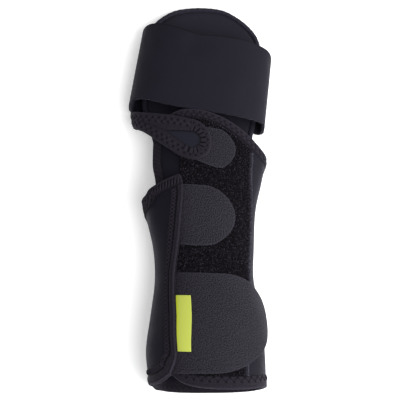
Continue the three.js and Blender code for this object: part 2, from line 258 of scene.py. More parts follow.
def bell(t):
    """A soft bump, 1 high, that falls away on both sides of 0."""
    return np.exp(-(t**2))


def curl(value, power):
    """A power that keeps its sign, to square or sharpen a circle."""
    return np.sign(value) * np.abs(value) ** power


def gone_along(line):
    """The length gone along a line, at each of its points."""
    return np.concatenate([[0], np.cumsum(np.linalg.norm(np.diff(line, axis=0), axis=1))])


def even(line, count):
    """A line's points, spaced evenly along its length."""
    gone = gone_along(line)
    place = np.linspace(0, gone[-1], count)
    return np.stack([np.interp(place, gone, column) for column in line.T], -1)


def read_row(values, share):
    """Values spaced evenly from 0 to 1, read at shares of the way."""
    return np.interp(share, np.linspace(0, 1, len(values)), values)


def read_line(line, share):
    return np.stack([read_row(column, share) for column in line.T], -1)


def unit(runs):
    return runs / np.linalg.norm(runs, axis=-1)[..., None]


def spline(points, count=EDGE_POINTS):
    """A smooth line through points, evenly spaced along its length."""
    points = np.asarray(points, float)
    last = len(points) - 1
    place = np.linspace(0, last, SPLINE_STEPS * last + 1)
    i = np.minimum(place.astype(int), last)
    w = (place - i)[:, None]
    p0, p1, p2, p3 = (points[np.clip(i + k, 0, last)] for k in (-1, 0, 1, 2))
    v0, v1 = (p2 - p0) / 2, (p3 - p1) / 2
    line = (2 * p1 - 2 * p2 + v0 + v1) * w**3 + (3 * p2 - 3 * p1 - 2 * v0 - v1) * w**2 + v0 * w + p1
    return even(line, count)


def along(rows, column, y):
    """A column of a table, read smoothly between its rows."""
    ys, values = rows[:, 0], rows[:, column]
    k = np.arange(len(ys))
    before, after = np.maximum(k - 1, 0), np.minimum(k + 1, len(ys) - 1)
    slope = (values[after] - values[before]) / (ys[after] - ys[before])
    y = np.clip(y, ys[0], ys[-1])
    i = np.clip(np.searchsorted(ys, y, side="right") - 1, 0, len(ys) - 2)
    step = ys[i + 1] - ys[i]
    s = (y - ys[i]) / step
    value = values[i] + (values[i + 1] - values[i]) * smooth(s)
    return value + s * (1 - s) * step * ((1 - s) * slope[i] - s * slope[i + 1])


def on_section(degrees, x, half, top, waist, sink, up, low, height):
    """Points of a rounded section at angles from +X, moved out along the section's own normal."""
    def at(angle):
        c, s = np.cos(np.radians(angle)), np.sin(np.radians(angle))
        power = 2 / np.where(s >= 0, up, low)
        rise = np.where(s >= 0, top - waist, waist + sink)
        return x + half * curl(c, power), waist + rise * curl(s, power)
    ahead, behind, here = at(degrees + 0.5), at(degrees - 0.5), at(degrees)
    run_x, run_z = ahead[0] - behind[0], ahead[1] - behind[1]
    length = np.hypot(run_x, run_z)
    return here[0] + run_z / length * height, here[1] - run_x / length * height


def dents(table, degrees, y):
    turn = (degrees[..., None] - table[:, 0] + 180) % 360 - 180
    far = (turn / table[:, 2]) ** 2 + ((y[..., None] - table[:, 1]) / table[:, 3]) ** 2
    return np.sum(table[:, 4] * np.exp(-far), axis=-1)


def on_form(degrees, y, height):
    """Points on the form at a height above the wrap's outer face; flat where it rests."""
    degrees, y, height = np.broadcast_arrays(*(np.asarray(value, float) for value in (degrees, y, height)))
    left, right, top = (along(FORM, column, y) for column in (1, 2, 3))
    lift = height + dents(DENTS, degrees, y)
    x, z = on_section(degrees, (left + right) / 2, (right - left) / 2, top, FORM_WAIST * top, height=lift,
                      **FORM_SECTION)
    return np.stack([x, y, np.maximum(np.maximum(z, -height), 0)], -1)


def angle_of_x(x, y, height):
    """The angle on the form's upper side where it has an X."""
    near, far = 0.0, 180.0
    while far - near > 1e-4:
        middle = (near + far) / 2
        if on_form(middle, y, height)[0] > x:
            near = middle
        else:
            far = middle
    return near


class Cloth:
    """The form unrolled at a height: reach round it from the crown line, by Y."""

    Y_STEP = 2.0

    def __init__(self, height):
        self.height = height
        self.angles = np.arange(-200, 301.0)
        self.ys = np.arange(-172, 86, self.Y_STEP)
        self.reaches = np.arange(-180, 181.0)
        places = on_form(self.angles, self.ys[:, None], height(self.angles))
        steps = np.linalg.norm(np.diff(places, axis=1), axis=2)
        gone = np.pad(np.cumsum(steps, axis=1), ((0, 0), (1, 0)))
        self.reach_table = gone[:, self.angles == CROWN] - gone
        rows = [np.interp(self.reaches, row[::-1], self.angles[::-1]) for row in self.reach_table]
        self.angle_table = np.array(rows)

    def read(self, table, columns, value, y):
        row = np.clip((np.asarray(y, float) - self.ys[0]) / self.Y_STEP, 0, len(self.ys) - 1.001)
        column = np.clip(np.asarray(value, float) - columns[0], 0, len(columns) - 1.001)
        i, j = row.astype(int), column.astype(int)
        a, b = row - i, column - j
        low = table[i, j] * (1 - b) + table[i, j + 1] * b
        return low * (1 - a) + (table[i + 1, j] * (1 - b) + table[i + 1, j + 1] * b) * a

    def angle(self, reach, y):
        return self.read(self.angle_table, self.reaches, reach, y)

    def reach(self, degrees, y):
        return self.read(self.reach_table, self.angles, degrees, y)

    def unroll(self, line):
        """A line in angle and Y, as reach and Y."""
        return np.stack([self.reach(line[:, 0], line[:, 1]), line[:, 1]], -1)

    def place(self, flat, rise):
        """Points of the cloth, from reach and Y, at a rise above the outer face of its layer."""
        degrees = self.angle(flat[..., 0], flat[..., 1])
        return on_form(degrees, flat[..., 1], self.height(degrees) + rise)


def level(height):
    return lambda degrees: np.full(np.shape(degrees), float(height))


def climb(turn, wall, front):
    start, end = turn
    return lambda degrees: (front + wall) * smooth((start - np.asarray(degrees, float)) / (start - end))


class Patch:
    """A sheet between four edges, in angle and Y."""

    def __init__(self, edges):
        self.edges = {name: spline(points) for name, points in edges.items()}

    def at(self, u, v):
        """Points at shares of the way across and along, blended from the four edges."""
        low, high = (read_line(self.edges[name], u) for name in ("bottom", "top"))
        left, right = (read_line(self.edges[name], v) for name in ("left", "right"))
        low_left, low_right = self.edges["bottom"][[0, -1]]
        high_left, high_right = self.edges["top"][[0, -1]]
        u, v = u[:, None], v[:, None]
        place = low * (1 - v) + high * v + left * (1 - u) + right * u
        place -= ((1 - u) * low_left + u * low_right) * (1 - v)
        place -= ((1 - u) * high_left + u * high_right) * v
        return place[:, 0], place[:, 1]

    def line(self, name, cloth):
        """An edge in reach and Y, with the direction into the sheet."""
        return with_inward(cloth.unroll(self.edges[name]), name)

    def ring(self, cloth):
        """The whole outline in reach and Y."""
        edges = self.edges
        sides = [edges["bottom"], edges["right"], edges["top"][::-1], edges["left"][::-1]]
        return cloth.unroll(np.concatenate(sides))

    def cut(self, cloth):
        """The width, length and area of the sheet as cut flat, in metres."""
        flat = self.ring(cloth) * MM
        width, length = flat.max(0) - flat.min(0)
        ahead = np.roll(flat, -1, axis=0)
        area = abs(np.sum(flat[:, 0] * ahead[:, 1] - flat[:, 1] * ahead[:, 0])) / 2
        return (float(width), float(length)), float(area)


class Leaf(Patch):
    """A strap between two long edges that meet at its round end."""

    def at(self, u, v):
        right = self.edges["right"]
        half = len(right) // 2
        low = even(np.concatenate([self.edges["bottom"], right[1:half + 1]]), EDGE_POINTS)
        high = even(np.concatenate([self.edges["top"], right[-2:half - 1:-1]]), EDGE_POINTS)
        low, high = (read_line(line, LEAF_REACH * u) for line in (low, high))
        place = low * (1 - v[:, None]) + high * v[:, None]
        return place[:, 0], place[:, 1]


def with_inward(line, name):
    """A line at the sewing step, with the direction into the sheet whose edge it is."""
    line = even(line, int(gone_along(line)[-1] / LINE_STEP) + 2)
    run = unit(np.gradient(line, axis=0))
    right = np.stack([run[:, 1], -run[:, 0]], -1)
    return line, right if name in ("left", "top") else -right


def edge_points(edges, height):
    """A sheet's edges in angle and Y."""
    def angle(kind, value, y):
        return value if kind == "angle" else angle_of_x(value, y, height)
    return {name: [(angle(*row), row[2]) for row in rows] for name, rows in edges.items()}


def drawn_back(points, gap):
    """A line whose last point is drawn back along its last stretch, so that a curve can start there."""
    (x, y), (end_x, end_y) = points[-2:]
    share = gap / math.hypot(end_x - x, end_y - y)
    return points[:-1] + [(end_x + (x - end_x) * share, end_y + (y - end_y) * share)]


def strap_edges(strap, cloth):
    """The edges of a strap or a tab in angle and Y, from its cut."""
    def across(reach, low, high):
        return [(reach, low + (high - low) * s) for s in (0, 0.5, 1)]
    rows, end = strap
    bottom, top = ([(row[0], row[k]) for row in rows] for k in (1, 2))
    left, right = across(*rows[0]), across(*rows[-1])
    if end:
        reach, low, high = rows[-1]
        end_reach, end_y, roundness, ease = end
        turn = np.linspace(-math.pi / 2, math.pi / 2, END_POINTS)
        out = np.abs(np.cos(turn)) ** (2 / roundness)
        middle = (low + high) / 2
        tip_y = middle + (end_y - middle) * out + (high - low) / 2 * curl(np.sin(turn), 2 / roundness)
        tip = list(zip(reach + (end_reach - reach) * out, tip_y))
        bottom = drawn_back(bottom, ease) + tip[1:END_SIDE + 1]
        top = drawn_back(top, ease) + tip[-2:-END_SIDE - 2:-1]
        right = tip[END_SIDE:-END_SIDE]
    flat = {"left": left, "top": top, "right": right, "bottom": bottom}
    return {name: [(float(cloth.angle(a, y)), y) for a, y in points] for name, points in flat.items()}


def gap_to(spots, ring):
    """How far spots are from a ring of points."""
    return np.sqrt(((spots[:, None] - ring[None]) ** 2).sum(2).min(1))


def inside(spots, ring, margin):
    """Which spots lie inside a ring, by more than a margin."""
    ahead = np.roll(ring, -1, axis=0)
    rising = (ring[:, 1] > spots[:, 1, None]) != (ahead[:, 1] > spots[:, 1, None])
    drop = np.where(ahead[:, 1] == ring[:, 1], TINY, ahead[:, 1] - ring[:, 1])
    cross = (ahead[:, 0] - ring[:, 0]) * (spots[:, 1, None] - ring[:, 1]) / drop + ring[:, 0]
    within = np.sum(rising & (spots[:, 0, None] < cross), axis=1) % 2 == 1
    return within & (gap_to(spots, ring) > margin)


def deselect():
    bpy.ops.object.select_all(action="DESELECT")


def select_only(piece):
    deselect()
    piece.select_set(True)
    bpy.context.view_layer.objects.active = piece


def apply(piece, kind, **settings):
    bpy.context.view_layer.objects.active = piece
    modifier = piece.modifiers.new(kind.title(), kind)
    for name, value in settings.items():
        setattr(modifier, name, value)
    bpy.ops.object.modifier_apply(modifier=modifier.name)


def smooth_shade(piece):
    select_only(piece)
    bpy.ops.object.shade_smooth_by_angle(angle=math.radians(60))


def edit_all(piece, operator, **settings):
    """Runs a mesh operator on the whole of a piece."""
    select_only(piece)
    bpy.ops.object.mode_set(mode="EDIT")
    bpy.ops.mesh.select_all(action="SELECT")
    operator(**settings)
    bpy.ops.object.mode_set(mode="OBJECT")


def face_solid_out(piece):
    """Points the faces of a closed piece outwards."""
    edit_all(piece, bpy.ops.mesh.normals_make_consistent, inside=False)


def weld(piece):
    """Joins the points that lie on one another."""
    edit_all(piece, bpy.ops.mesh.remove_doubles, threshold=0.1 * MM)


def join(name, pieces):
    deselect()
    for piece in pieces:
        piece.select_set(True)
    bpy.context.view_layer.objects.active = pieces[0]
    bpy.ops.object.join()
    joined = bpy.context.object
    joined.name = joined.data.name = name
    return joined


def lay_uv(mesh, cloth_uv):
    """The cloth's own millimetres as a UV map."""
    while mesh.uv_layers:
        mesh.uv_layers.remove(mesh.uv_layers[0])
    layer = mesh.uv_layers.new(name="cloth")
    corner = np.empty(len(mesh.loops), np.int32)
    mesh.loops.foreach_get("vertex_index", corner)
    layer.data.foreach_set("uv", np.asarray(cloth_uv, np.float32)[corner].ravel())


def lay_shade(mesh, shade):
    """Marks each point as darker, up to 1, or paler, down to -1."""
    own = mesh.attributes.new("shade", "FLOAT", "POINT")
    own.data.foreach_set("value", np.asarray(shade, np.float32))


def lay_grid(name, place):
    """A grid primitive whose points, from 0 to 1 across and along, are laid where place says."""
    deselect()
    across, up = CELLS[name]
    bpy.ops.mesh.primitive_grid_add(x_subdivisions=across, y_subdivisions=up, size=1)
    piece = bpy.context.object
    piece.name = piece.data.name = name
    mesh = piece.data
    flat = np.empty(len(mesh.vertices) * 3)
    mesh.vertices.foreach_get("co", flat)
    share = np.clip(flat.reshape(-1, 3) + 0.5, 0, 1)
    places, cloth_uv, *shade = place(share[:, 0], share[:, 1])
    mesh.vertices.foreach_set("co", (places * MM).ravel())
    lay_uv(mesh, cloth_uv)
    if shade:
        lay_shade(mesh, shade[0])
    mesh.update()
    return piece


def array_mesh(name, points, faces, flat=None, shade=None):
    """One mesh from arrays: points in millimetres, faces by index, and its UV or a shade of its own."""
    mesh = bpy.data.meshes.new(name)
    mesh.from_pydata((np.asarray(points) * MM).tolist(), [], [list(face) for face in faces])
    mesh.validate()
    if flat is not None:
        lay_uv(mesh, flat)
    if shade is not None:
        lay_shade(mesh, shade)
    piece = bpy.data.objects.new(name, mesh)
    bpy.context.scene.collection.objects.link(piece)
    smooth_shade(piece)
    return piece


def face_out(piece):
    """Turns an open sheet so that its faces point away from the form."""
    faces = piece.data.polygons
    x, z = FORM_MIDDLE
    samples = [faces[k] for k in range(0, len(faces), max(1, len(faces) // 80))]
    if sum(face.normal.x * (face.center.x - x) + face.normal.z * (face.center.z - z) for face in samples) < 0:
        piece.data.flip_normals()


def thicken(piece, wall, soft):
    """Gives a sheet its thickness inwards, with a rounded rim."""
    face_out(piece)
    apply(piece, "SOLIDIFY", thickness=wall * MM, offset=-1, use_even_offset=False, use_rim=True)
    if soft:
        apply(piece, "BEVEL", width=soft * MM, segments=3, limit_method="ANGLE", angle_limit=math.radians(50))
    smooth_shade(piece)


def cloth_sheet(name, patch, cloth, wall, soft=0.0, cut_edge=0.0):
    """A sheet on the form, with its thickness; a cut edge shows paler."""
    outline = patch.ring(cloth)[::OUTLINE_STRIDE]

    def place(u, v):
        degrees, y = patch.at(u, v)
        flat = np.stack([cloth.reach(degrees, y), y], -1)
        places = on_form(degrees, y, cloth.height(degrees))
        if not cut_edge:
            return places, flat
        return places, flat, -cut_edge * np.exp(-gap_to(flat, outline) / CUT_FADE)
    piece = lay_grid(name, place)
    thicken(piece, wall, soft)
    return piece


def ring_faces(rings, sides, closed=False):
    """Quads between rings of points, wound so that they point out of a ring that runs anticlockwise."""
    r = np.arange(rings if closed else rings - 1)[:, None]
    s = np.arange(sides)[None]
    after, beside = (r + 1) % rings, (s + 1) % sides
    quads = [r * sides + s, r * sides + beside, after * sides + beside, after * sides + s]
    return np.stack(np.broadcast_arrays(*quads), -1).reshape(-1, 4)


# Ways of sewing a tape: each says how deep the needle pulls it, from the length gone along the edge, the
# distance d in from the edge and the tape's width. The tape paints what is pulled in darker as shade, and
# what puffs up paler as highlight.
def pits(low, high, pitch, size=0.85, puff=0.3, depth=1.0):
    """Needle pits at the corners of a zigzag between two distances from the edge, with puffs between them;
    the pits are painted shade and the puffs painted highlight.
    """
    def deep(gone, d, wide):
        pulled = 0
        for row, start in ((np.minimum(high, wide - SEAM_MARGIN), pitch / 2), (low, 0.0)):
            off = (gone - start + pitch / 2) % pitch - pitch / 2
            pulled = pulled + np.exp(-(off**2 + (d - row) ** 2) / size**2)
        between = smooth((d - low) / SEAM_MARGIN + 1) * smooth((high - d) / SEAM_MARGIN + 1)
        return depth * pulled - puff * between * np.exp(-3 * pulled)
    return deep


def crosses(low, high, pitch, shift, size=0.45):
    """A sunk band under two zigzags that cross, deepest under their threads and along its front, and painted
    darker as shade in the same measure.
    """
    def deep(gone, d, wide):
        leg = np.abs(2 * (gone / pitch % 1) - 1)
        d = d - shift[:, None]
        rows = [low + (high - low) * share for share in (leg, 1 - leg)]
        groove = np.maximum(*[bell((d - row) / size) for row in rows])
        between = smooth((d - low) / 0.6) * smooth((high - d) / 0.6)
        front = bell((d - low + 0.5) / 0.45)
        return np.maximum(np.maximum(0.75 * groove, 0.4) * between, front)
    return deep


def slants(low, spare, pitch, lean, size=0.6, depth=1.0):
    """Grooves between slanted overlock stitches, from near the edge to near the tape's inner side, painted
    darker as shade.
    """
    def deep(gone, d, wide):
        off = (gone + lean * d) % pitch - pitch / 2
        return depth * smooth((d - low) / 0.6) * smooth((wide - spare - d) / 0.6) * bell(off / size)
    return deep


def strap_sewing(pitch, round_end):
    """Pits along the strap's sides, and slots between the folds round the island's end: painted shade in the
    pits and slots, painted highlight between the slots.
    """
    side = pits(*STRAP_ROWS, pitch, size=0.95, puff=0.4, depth=0.85)
    ring = round_end[:, None]
    half = STRAP_SLOT / 2

    def deep(gone, d, wide):
        off = (gone + half) % STRAP_SLOT - half
        long = smooth((d - wide + 5.6) / 1.2) * smooth((wide - d + 0.5) / 0.4)
        slots = (1.5 * bell(off / 0.95) - 0.35) * long
        outer = bell((np.abs(off) - half) / 0.8) * bell((d - 2.6) / 0.8)
        return side(gone, d, wide) * (1 - ring) + np.where(outer > np.abs(slots), outer, slots) * ring
    return deep


def tape(name, line, inward, cloth, wall, width, rise, sewing, roll=0.0, under=TAPE_UNDER, edge=0.45,
         shut=0.0, deep=0.55):
    """A tape folded over an edge: a closed U from the outer face round the rim to the inner face.

    The needle pulls it in by up to deep where the sewing says, and there it is painted darker as shade; where
    the sewing puffs it up it is painted paler as highlight. Roll rounds it up, edge paints a highlight along
    its rim, and shut takes away the step at its inner side and the painted shade along it; these and the
    width may change along the edge.
    """
    gone = gone_along(line)[:, None]
    wide, roll, edge, shut = (np.broadcast_to(np.reshape(value, (-1, 1)), gone.shape).astype(float)
                              for value in (width, roll, edge, shut))
    across = np.linspace(1, 0, int(wide.max() / LINE_STEP) + 2)
    face = TAPE_FACE + (wide - 3 * TAPE_FACE) * across
    d = np.concatenate([wide, wide - 0.18, wide - TAPE_STEP, face], axis=1)
    h = rise * (1 - TAPE_SINK * (1 - shut) * (1 - smooth((wide - d) / TAPE_STEP)))
    h = h + roll * np.abs(np.sin(np.pi * (1 - shut / 2) * np.clip(d / wide, 0, 1))) ** 0.7
    # Painted shade: a dark line along the inner step, where the tape sinks to the cloth. Painted highlight: a
    # paler line along the rim, where the fold would catch the light.
    shade = smooth((d - wide + 1.1) / 0.7) * 0.9 * (1 - shut) - edge * smooth((0.8 - d) / 0.5)
    pulled = sewing(gone, d, wide)
    h = h - deep * pulled
    # Painted shade where the needle pulls the tape in, and painted highlight where the sewing puffs it up.
    painted_pit_shade = np.maximum(shade, np.clip(1.15 * pulled, 0, 1))
    shade = np.where(pulled > 0.08, painted_pit_shade, shade + 0.5 * np.minimum(pulled, 0))
    # Round the rim: distance, height and shade, whose negative values are a painted highlight. Then the inner
    # face and the core: share of the width, height.
    ones = np.ones_like(wide)
    rim = [(-0.1, rise * 0.72, -edge), (-0.5, -0.05 * wall, -edge / 2), (-0.68, -0.5 * wall, 0),
           (-0.5, -0.95 * wall, 0), (-0.1, -wall - 0.7 * under, 0), (TAPE_FACE, -wall - under, 0)]
    back = [(0.5, -wall - under), (0.94, -wall - under), (1, -wall + 0.25), (0.9, -wall + 0.4),
            (0.2, -wall + 0.4), (0.2, -0.9), (0.9, -0.9)]
    d = np.concatenate([d] + [ones * row[0] for row in rim] + [wide * row[0] for row in back], axis=1)
    h = np.concatenate([h] + [ones * row[1] for row in rim + back], axis=1)
    shade = np.concatenate([shade] + [ones * row[2] for row in rim] + [ones * 0] * len(back), axis=1)
    points = cloth.place(line[:, None] + inward[:, None] * d[..., None], h)
    sides = d.shape[1]
    caps = [np.arange(sides), np.arange(sides)[::-1] + (len(line) - 1) * sides]
    faces = [*ring_faces(len(line), sides).tolist(), *[cap.tolist() for cap in caps]]
    uv = np.stack(np.broadcast_arrays(gone, d), -1).reshape(-1, 2)
    piece = array_mesh(name, points.reshape(-1, 3), faces, uv, shade.ravel())
    face_solid_out(piece)
    return piece


def tubes(middle, out, thick, sides):
    """Threads along rows of points, with their outward side: points and faces for one mesh."""
    count, rings = middle.shape[:2]
    run = np.gradient(middle, axis=1)
    run /= np.linalg.norm(run, axis=2)[..., None] + TINY
    side = np.cross(run, out)
    side /= np.linalg.norm(side, axis=2)[..., None] + TINY
    up = np.cross(side, run)
    turn = np.linspace(0, 2 * np.pi, sides, endpoint=False)
    around = side[:, :, None] * np.cos(turn)[:, None] + up[:, :, None] * np.sin(turn)[:, None]
    points = middle[:, :, None] + thick * around
    first = np.arange(count) * rings * sides
    faces = ring_faces(rings, sides)[None] + first[:, None, None]
    return points.reshape(-1, 3), faces.reshape(-1, 4)


def sewn(name, runs, cloth, rise, thread, lift=0.35):
    """All the stitches of a piece as one mesh: threads from start to end on the cloth, sunk at their ends."""
    rings, sides, sunk = 5, 5, 0.25
    starts, ends = (np.concatenate([run[k] for run in runs]) for k in (0, 1))
    t = np.linspace(0, 1, rings)
    flat = starts[:, None] + (ends - starts)[:, None] * t[None, :, None]
    arch = np.broadcast_to(rise - sunk + (lift + sunk) * np.sin(np.pi * t) ** 0.6, flat.shape[:2])
    middle = cloth.place(flat, arch)
    out = cloth.place(flat, arch + 1) - middle
    thick = thread * (0.6 + 0.4 * np.sin(np.pi * t))[None, :, None, None]
    return array_mesh(name, *tubes(middle, out, thick, sides))


def spaced(line, inward, pitch, start=0.0):
    """Points and inward directions along an edge, a pitch apart."""
    gone = gone_along(line)
    place = np.arange(start, gone[-1], pitch)
    return [np.stack([np.interp(place, gone, column) for column in row.T], -1) for row in (line, inward)]


def zigzag(line, inward, low, high, pitch, cap=None, shift=None):
    """Starts and ends of a zigzag between two distances from an edge."""
    at, into = spaced(line, inward, pitch / 2, pitch / 2)
    reach = np.where(np.arange(len(at)) % 2, low, high)
    share = np.linspace(0, 1, len(at))
    if cap is not None:
        reach = np.minimum(reach, read_row(cap, share))
    if shift is not None:
        reach = reach + read_row(shift, share)
    corner = at + into * reach[:, None]
    return corner[:-1], corner[1:]


def row_of(line, inward, distance, pitch, length, step=0.2):
    """Starts and ends of a row of straight stitches beside an edge."""
    at, into = spaced(line, inward, step)
    row = at + into * distance
    long = int(length / step)
    starts = np.arange(2, len(row) - long - 2, int(pitch / step))
    return row[starts], row[starts + long]


def node_group(name, inputs, outputs, build):
    """A shader node group with named sockets, built once."""
    if name in bpy.data.node_groups:
        return bpy.data.node_groups[name]
    group = bpy.data.node_groups.new(name, "ShaderNodeTree")
    for label, kind in inputs.items():
        group.interface.new_socket(name=label, in_out="INPUT", socket_type=kind)
    for label in outputs:
        group.interface.new_socket(name=label, in_out="OUTPUT", socket_type="NodeSocketFloat")
    build(group, group.nodes.new("NodeGroupInput"), group.nodes.new("NodeGroupOutput"))
    return group


def feed(tree, socket, value):
    """Links a socket to another node's output, or sets its own value."""
    if isinstance(value, bpy.types.NodeSocket):
        tree.links.new(value, socket)
    else:
        socket.default_value = value


def add(tree, kind, *values, **settings):
    """A node with its settings, its inputs linked or set in order."""
    made = tree.nodes.new(kind)
    for name, value in settings.items():
        setattr(made, name, value)
    for socket, value in zip(made.inputs, values):
        if value is not None:
            feed(tree, socket, value)
    return made


def maths(tree, operation, *values):
    return add(tree, "ShaderNodeMath", *values, operation=operation).outputs[0]


def ripple(tree, value):
    """A wave from 0 to 1 and back for each whole step of a value."""
    return maths(tree, "MULTIPLY", maths(tree, "PINGPONG", value, 0.5), 2.0)


def blend(tree, factor, a, b):
    made = add(tree, "ShaderNodeMix", data_type="RGBA")
    for socket, value in zip((made.inputs[0], made.inputs[6], made.inputs[7]), (factor, a, b)):
        feed(tree, socket, value)
    return made.outputs[2]


def build_knit(group, given, out):
    place = add(group, "ShaderNodeSeparateXYZ", given.outputs["Place"])
    across, up = (maths(group, "DIVIDE", place.outputs[k], given.outputs["Wale"]) for k in (0, 1))
    wale = ripple(group, across)
    course = maths(group, "ADD", maths(group, "MULTIPLY", up, 1.25), maths(group, "MULTIPLY", wale, 0.55))
    ridge = maths(group, "MULTIPLY", maths(group, "SQRT", wale), 0.5)
    loop = maths(group, "MULTIPLY", ripple(group, course), 0.5)
    group.links.new(maths(group, "ADD", ridge, loop), out.inputs["Height"])


def build_heather(group, given, out):
    fine = add(group, "ShaderNodeTexNoise", given.outputs["Place"], None, given.outputs["Fine"], 2.0, 0.6)
    broad = add(group, "ShaderNodeTexNoise", given.outputs["Place"], None, given.outputs["Broad"], 3.0, 0.55)
    for name, source, low, high in (
        ("Fleck", fine, 0.5, 0.72), ("Grain", fine, 0.43, 0.57), ("Cloud", broad, 0.32, 0.68),
    ):
        spread = add(group, "ShaderNodeMapRange", source.outputs[0], low, high, 0.0, 1.0)
        group.links.new(spread.outputs[0], out.inputs[name])


def knit_group():
    inputs = {"Place": "NodeSocketVector", "Wale": "NodeSocketFloat"}
    return node_group("fine knit", inputs, ["Height"], build_knit)


def heather_group():
    inputs = {"Place": "NodeSocketVector", "Fine": "NodeSocketFloat", "Broad": "NodeSocketFloat"}
    return node_group("flecks and clouds", inputs, ["Fleck", "Grain", "Cloud"], build_heather)


def grouped(tree, group, **values):
    """A node group placed in a material, with its inputs linked or set."""
    made = add(tree, "ShaderNodeGroup", node_tree=group)
    for name, value in values.items():
        feed(tree, made.inputs[name], value)
    return made.outputs


def shade_of(colour, factor):
    return (*[min(1.0, c * factor) for c in colour[:3]], 1.0)


def tinted(colour, factors):
    return [c * factor for c, factor in zip(colour, factors)]


def new_material(name):
    material = bpy.data.materials.new(name)
    material.use_nodes = True
    tree = material.node_tree
    shader = next(n for n in tree.nodes if n.type == "BSDF_PRINCIPLED")
    return material, tree, shader


def surface(shader, sheen=0.0, tint=(1, 1, 1), specular=0.4):
    shader.inputs["Sheen Weight"].default_value = sheen
    shader.inputs["Sheen Roughness"].default_value = 0.4
    shader.inputs["Sheen Tint"].default_value = (*tint, 1)
    shader.inputs["Specular IOR Level"].default_value = specular


def emboss(tree, shader, height, strength, distance):
    """A fine relief in a material."""
    relief = add(tree, "ShaderNodeBump")
    relief.inputs["Strength"].default_value = strength
    relief.inputs["Distance"].default_value = distance
    tree.links.new(height, relief.inputs["Height"])
    tree.links.new(relief.outputs[0], shader.inputs["Normal"])


def cloth_material(name, colour, wale, fine, broad, fleck, bump, rough, sheen, tint=(0.8, 0.78, 1.0),
                   turn=0.0, dark=0.72, sewn_in=False, specular=0.08, grain=0.0, ribs=(1.0, 1.1),
                   stretch=1.0):
    """Knitted or woven cloth: its stitches, flecks and soft clouds of tone, on the cloth's own UV map.

    Cloth that is sewn in takes the shade of its own points: painted shade in its pits, grooves and steps and
    along the band's far edge, and paler along its rims, a painted highlight on tape rims and puffs and a
    paler cut edge on the tabs.
    """
    if name in bpy.data.materials:
        return bpy.data.materials[name]
    material, tree, shader = new_material(name)
    place = add(tree, "ShaderNodeMapping", add(tree, "ShaderNodeUVMap", uv_map="cloth").outputs[0])
    place.vector_type = "TEXTURE"
    place.inputs["Rotation"].default_value = (0, 0, math.radians(turn))
    place.inputs["Scale"].default_value = (1, stretch, 1)
    knit = grouped(tree, knit_group(), Place=place.outputs[0], Wale=wale)["Height"]
    heather = grouped(tree, heather_group(), Place=place.outputs[0], Fine=fine, Broad=broad)
    tone = blend(tree, heather["Cloud"], shade_of(colour, dark), shade_of(colour, 1.0))
    tone = blend(tree, 0.5, tone, blend(tree, knit, *(shade_of(colour, rib) for rib in ribs)))
    if grain:
        mottle = blend(tree, heather["Grain"], *(shade_of(colour, share) for share in TONES["grain"]))
        tone = blend(tree, grain, tone, mottle)
    flecks = maths(tree, "MULTIPLY", heather["Fleck"], fleck)
    tone = blend(tree, flecks, tone, shade_of(colour, TONES["fleck"]))
    if sewn_in:
        own = add(tree, "ShaderNodeAttribute", attribute_name="shade").outputs["Fac"]
        # Painted shade where the points are marked darker, painted highlight where they are marked paler.
        tone = blend(tree, maths(tree, "MAXIMUM", own, 0.0), tone, shade_of(colour, TONES["painted_shade"]))
        pale = maths(tree, "MAXIMUM", maths(tree, "MULTIPLY", own, -1.0), 0.0)
        tone = blend(tree, pale, tone, shade_of(colour, TONES["rim"]))
    tree.links.new(tone, shader.inputs["Base Color"])
    spread = add(tree, "ShaderNodeMapRange", heather["Cloud"], 0.0, 1.0, *rough)
    tree.links.new(spread.outputs[0], shader.inputs["Roughness"])
    height = maths(tree, "ADD", knit, maths(tree, "MULTIPLY", heather["Fleck"], 0.5))
    emboss(tree, shader, height, bump, 0.3 * MM)
    surface(shader, sheen, tint, specular)
    return material


# The jersey on the neoprene and on the paddle, and the woven tape round the edges.
JERSEY_KNIT = dict(wale=0.62, fine=0.9, broad=0.05, bump=0.35)
TAPE_WEAVE = dict(wale=0.85, fine=1.1, broad=0.2, fleck=0.15, bump=0.6, rough=(0.68, 0.82), sheen=0.05)


def neoprene(colours):
    return cloth_material("neoprene jersey", colours.neoprene, **JERSEY_KNIT, fleck=0.06, rough=(0.52, 0.66),
                          sheen=0.06, tint=(0.66, 0.62, 1.0))


def strap_jersey(colours):
    return cloth_material("strap jersey", tinted(colours.neoprene, (1.92, 2.28, 1.96)), **JERSEY_KNIT,
                          fleck=0.06, rough=(0.52, 0.66), sheen=0.08, tint=(0.7, 0.74, 1.0))


def lining(colours):
    return cloth_material("paddle cover", colours.paddle, **JERSEY_KNIT, fleck=0.05, rough=(0.55, 0.68),
                          sheen=0.05)


def band_knit(colours):
    return cloth_material("band knit", colours.band, wale=0.5, fine=1.4, broad=0.045, fleck=0.05, bump=0.3,
                          rough=(0.58, 0.7), sheen=0.06, sewn_in=True)


def edge_tape(colours):
    return cloth_material("edge tape", colours.tape, **TAPE_WEAVE, sewn_in=True, grain=0.3)


def welt_tape(colours):
    return cloth_material("welt tape", tinted(colours.tape, (1.6, 1.7, 1.75)), **TAPE_WEAVE)


def hook_fabric(colours):
    return cloth_material("hook fabric", colours.hook, wale=1.75, fine=1.65, broad=0.06, fleck=0.1, bump=0.6,
                          rough=(0.7, 0.85), sheen=0.04, turn=38, dark=0.8, sewn_in=True, grain=0.9,
                          ribs=(0.0, 2.6), stretch=1.4)


def loop_base(colours):
    return cloth_material("loop backing", colours.pile, wale=0.7, fine=1.2, broad=0.1, fleck=0.25, bump=0.7,
                          rough=(0.85, 0.95), sheen=0.0, specular=0.05)


def selvedge(colours):
    return cloth_material("selvedge tape", colours.selvedge, wale=0.5, fine=1.2, broad=0.3, fleck=0.4,
                          bump=0.4, rough=(0.6, 0.8), sheen=0.05, sewn_in=True)


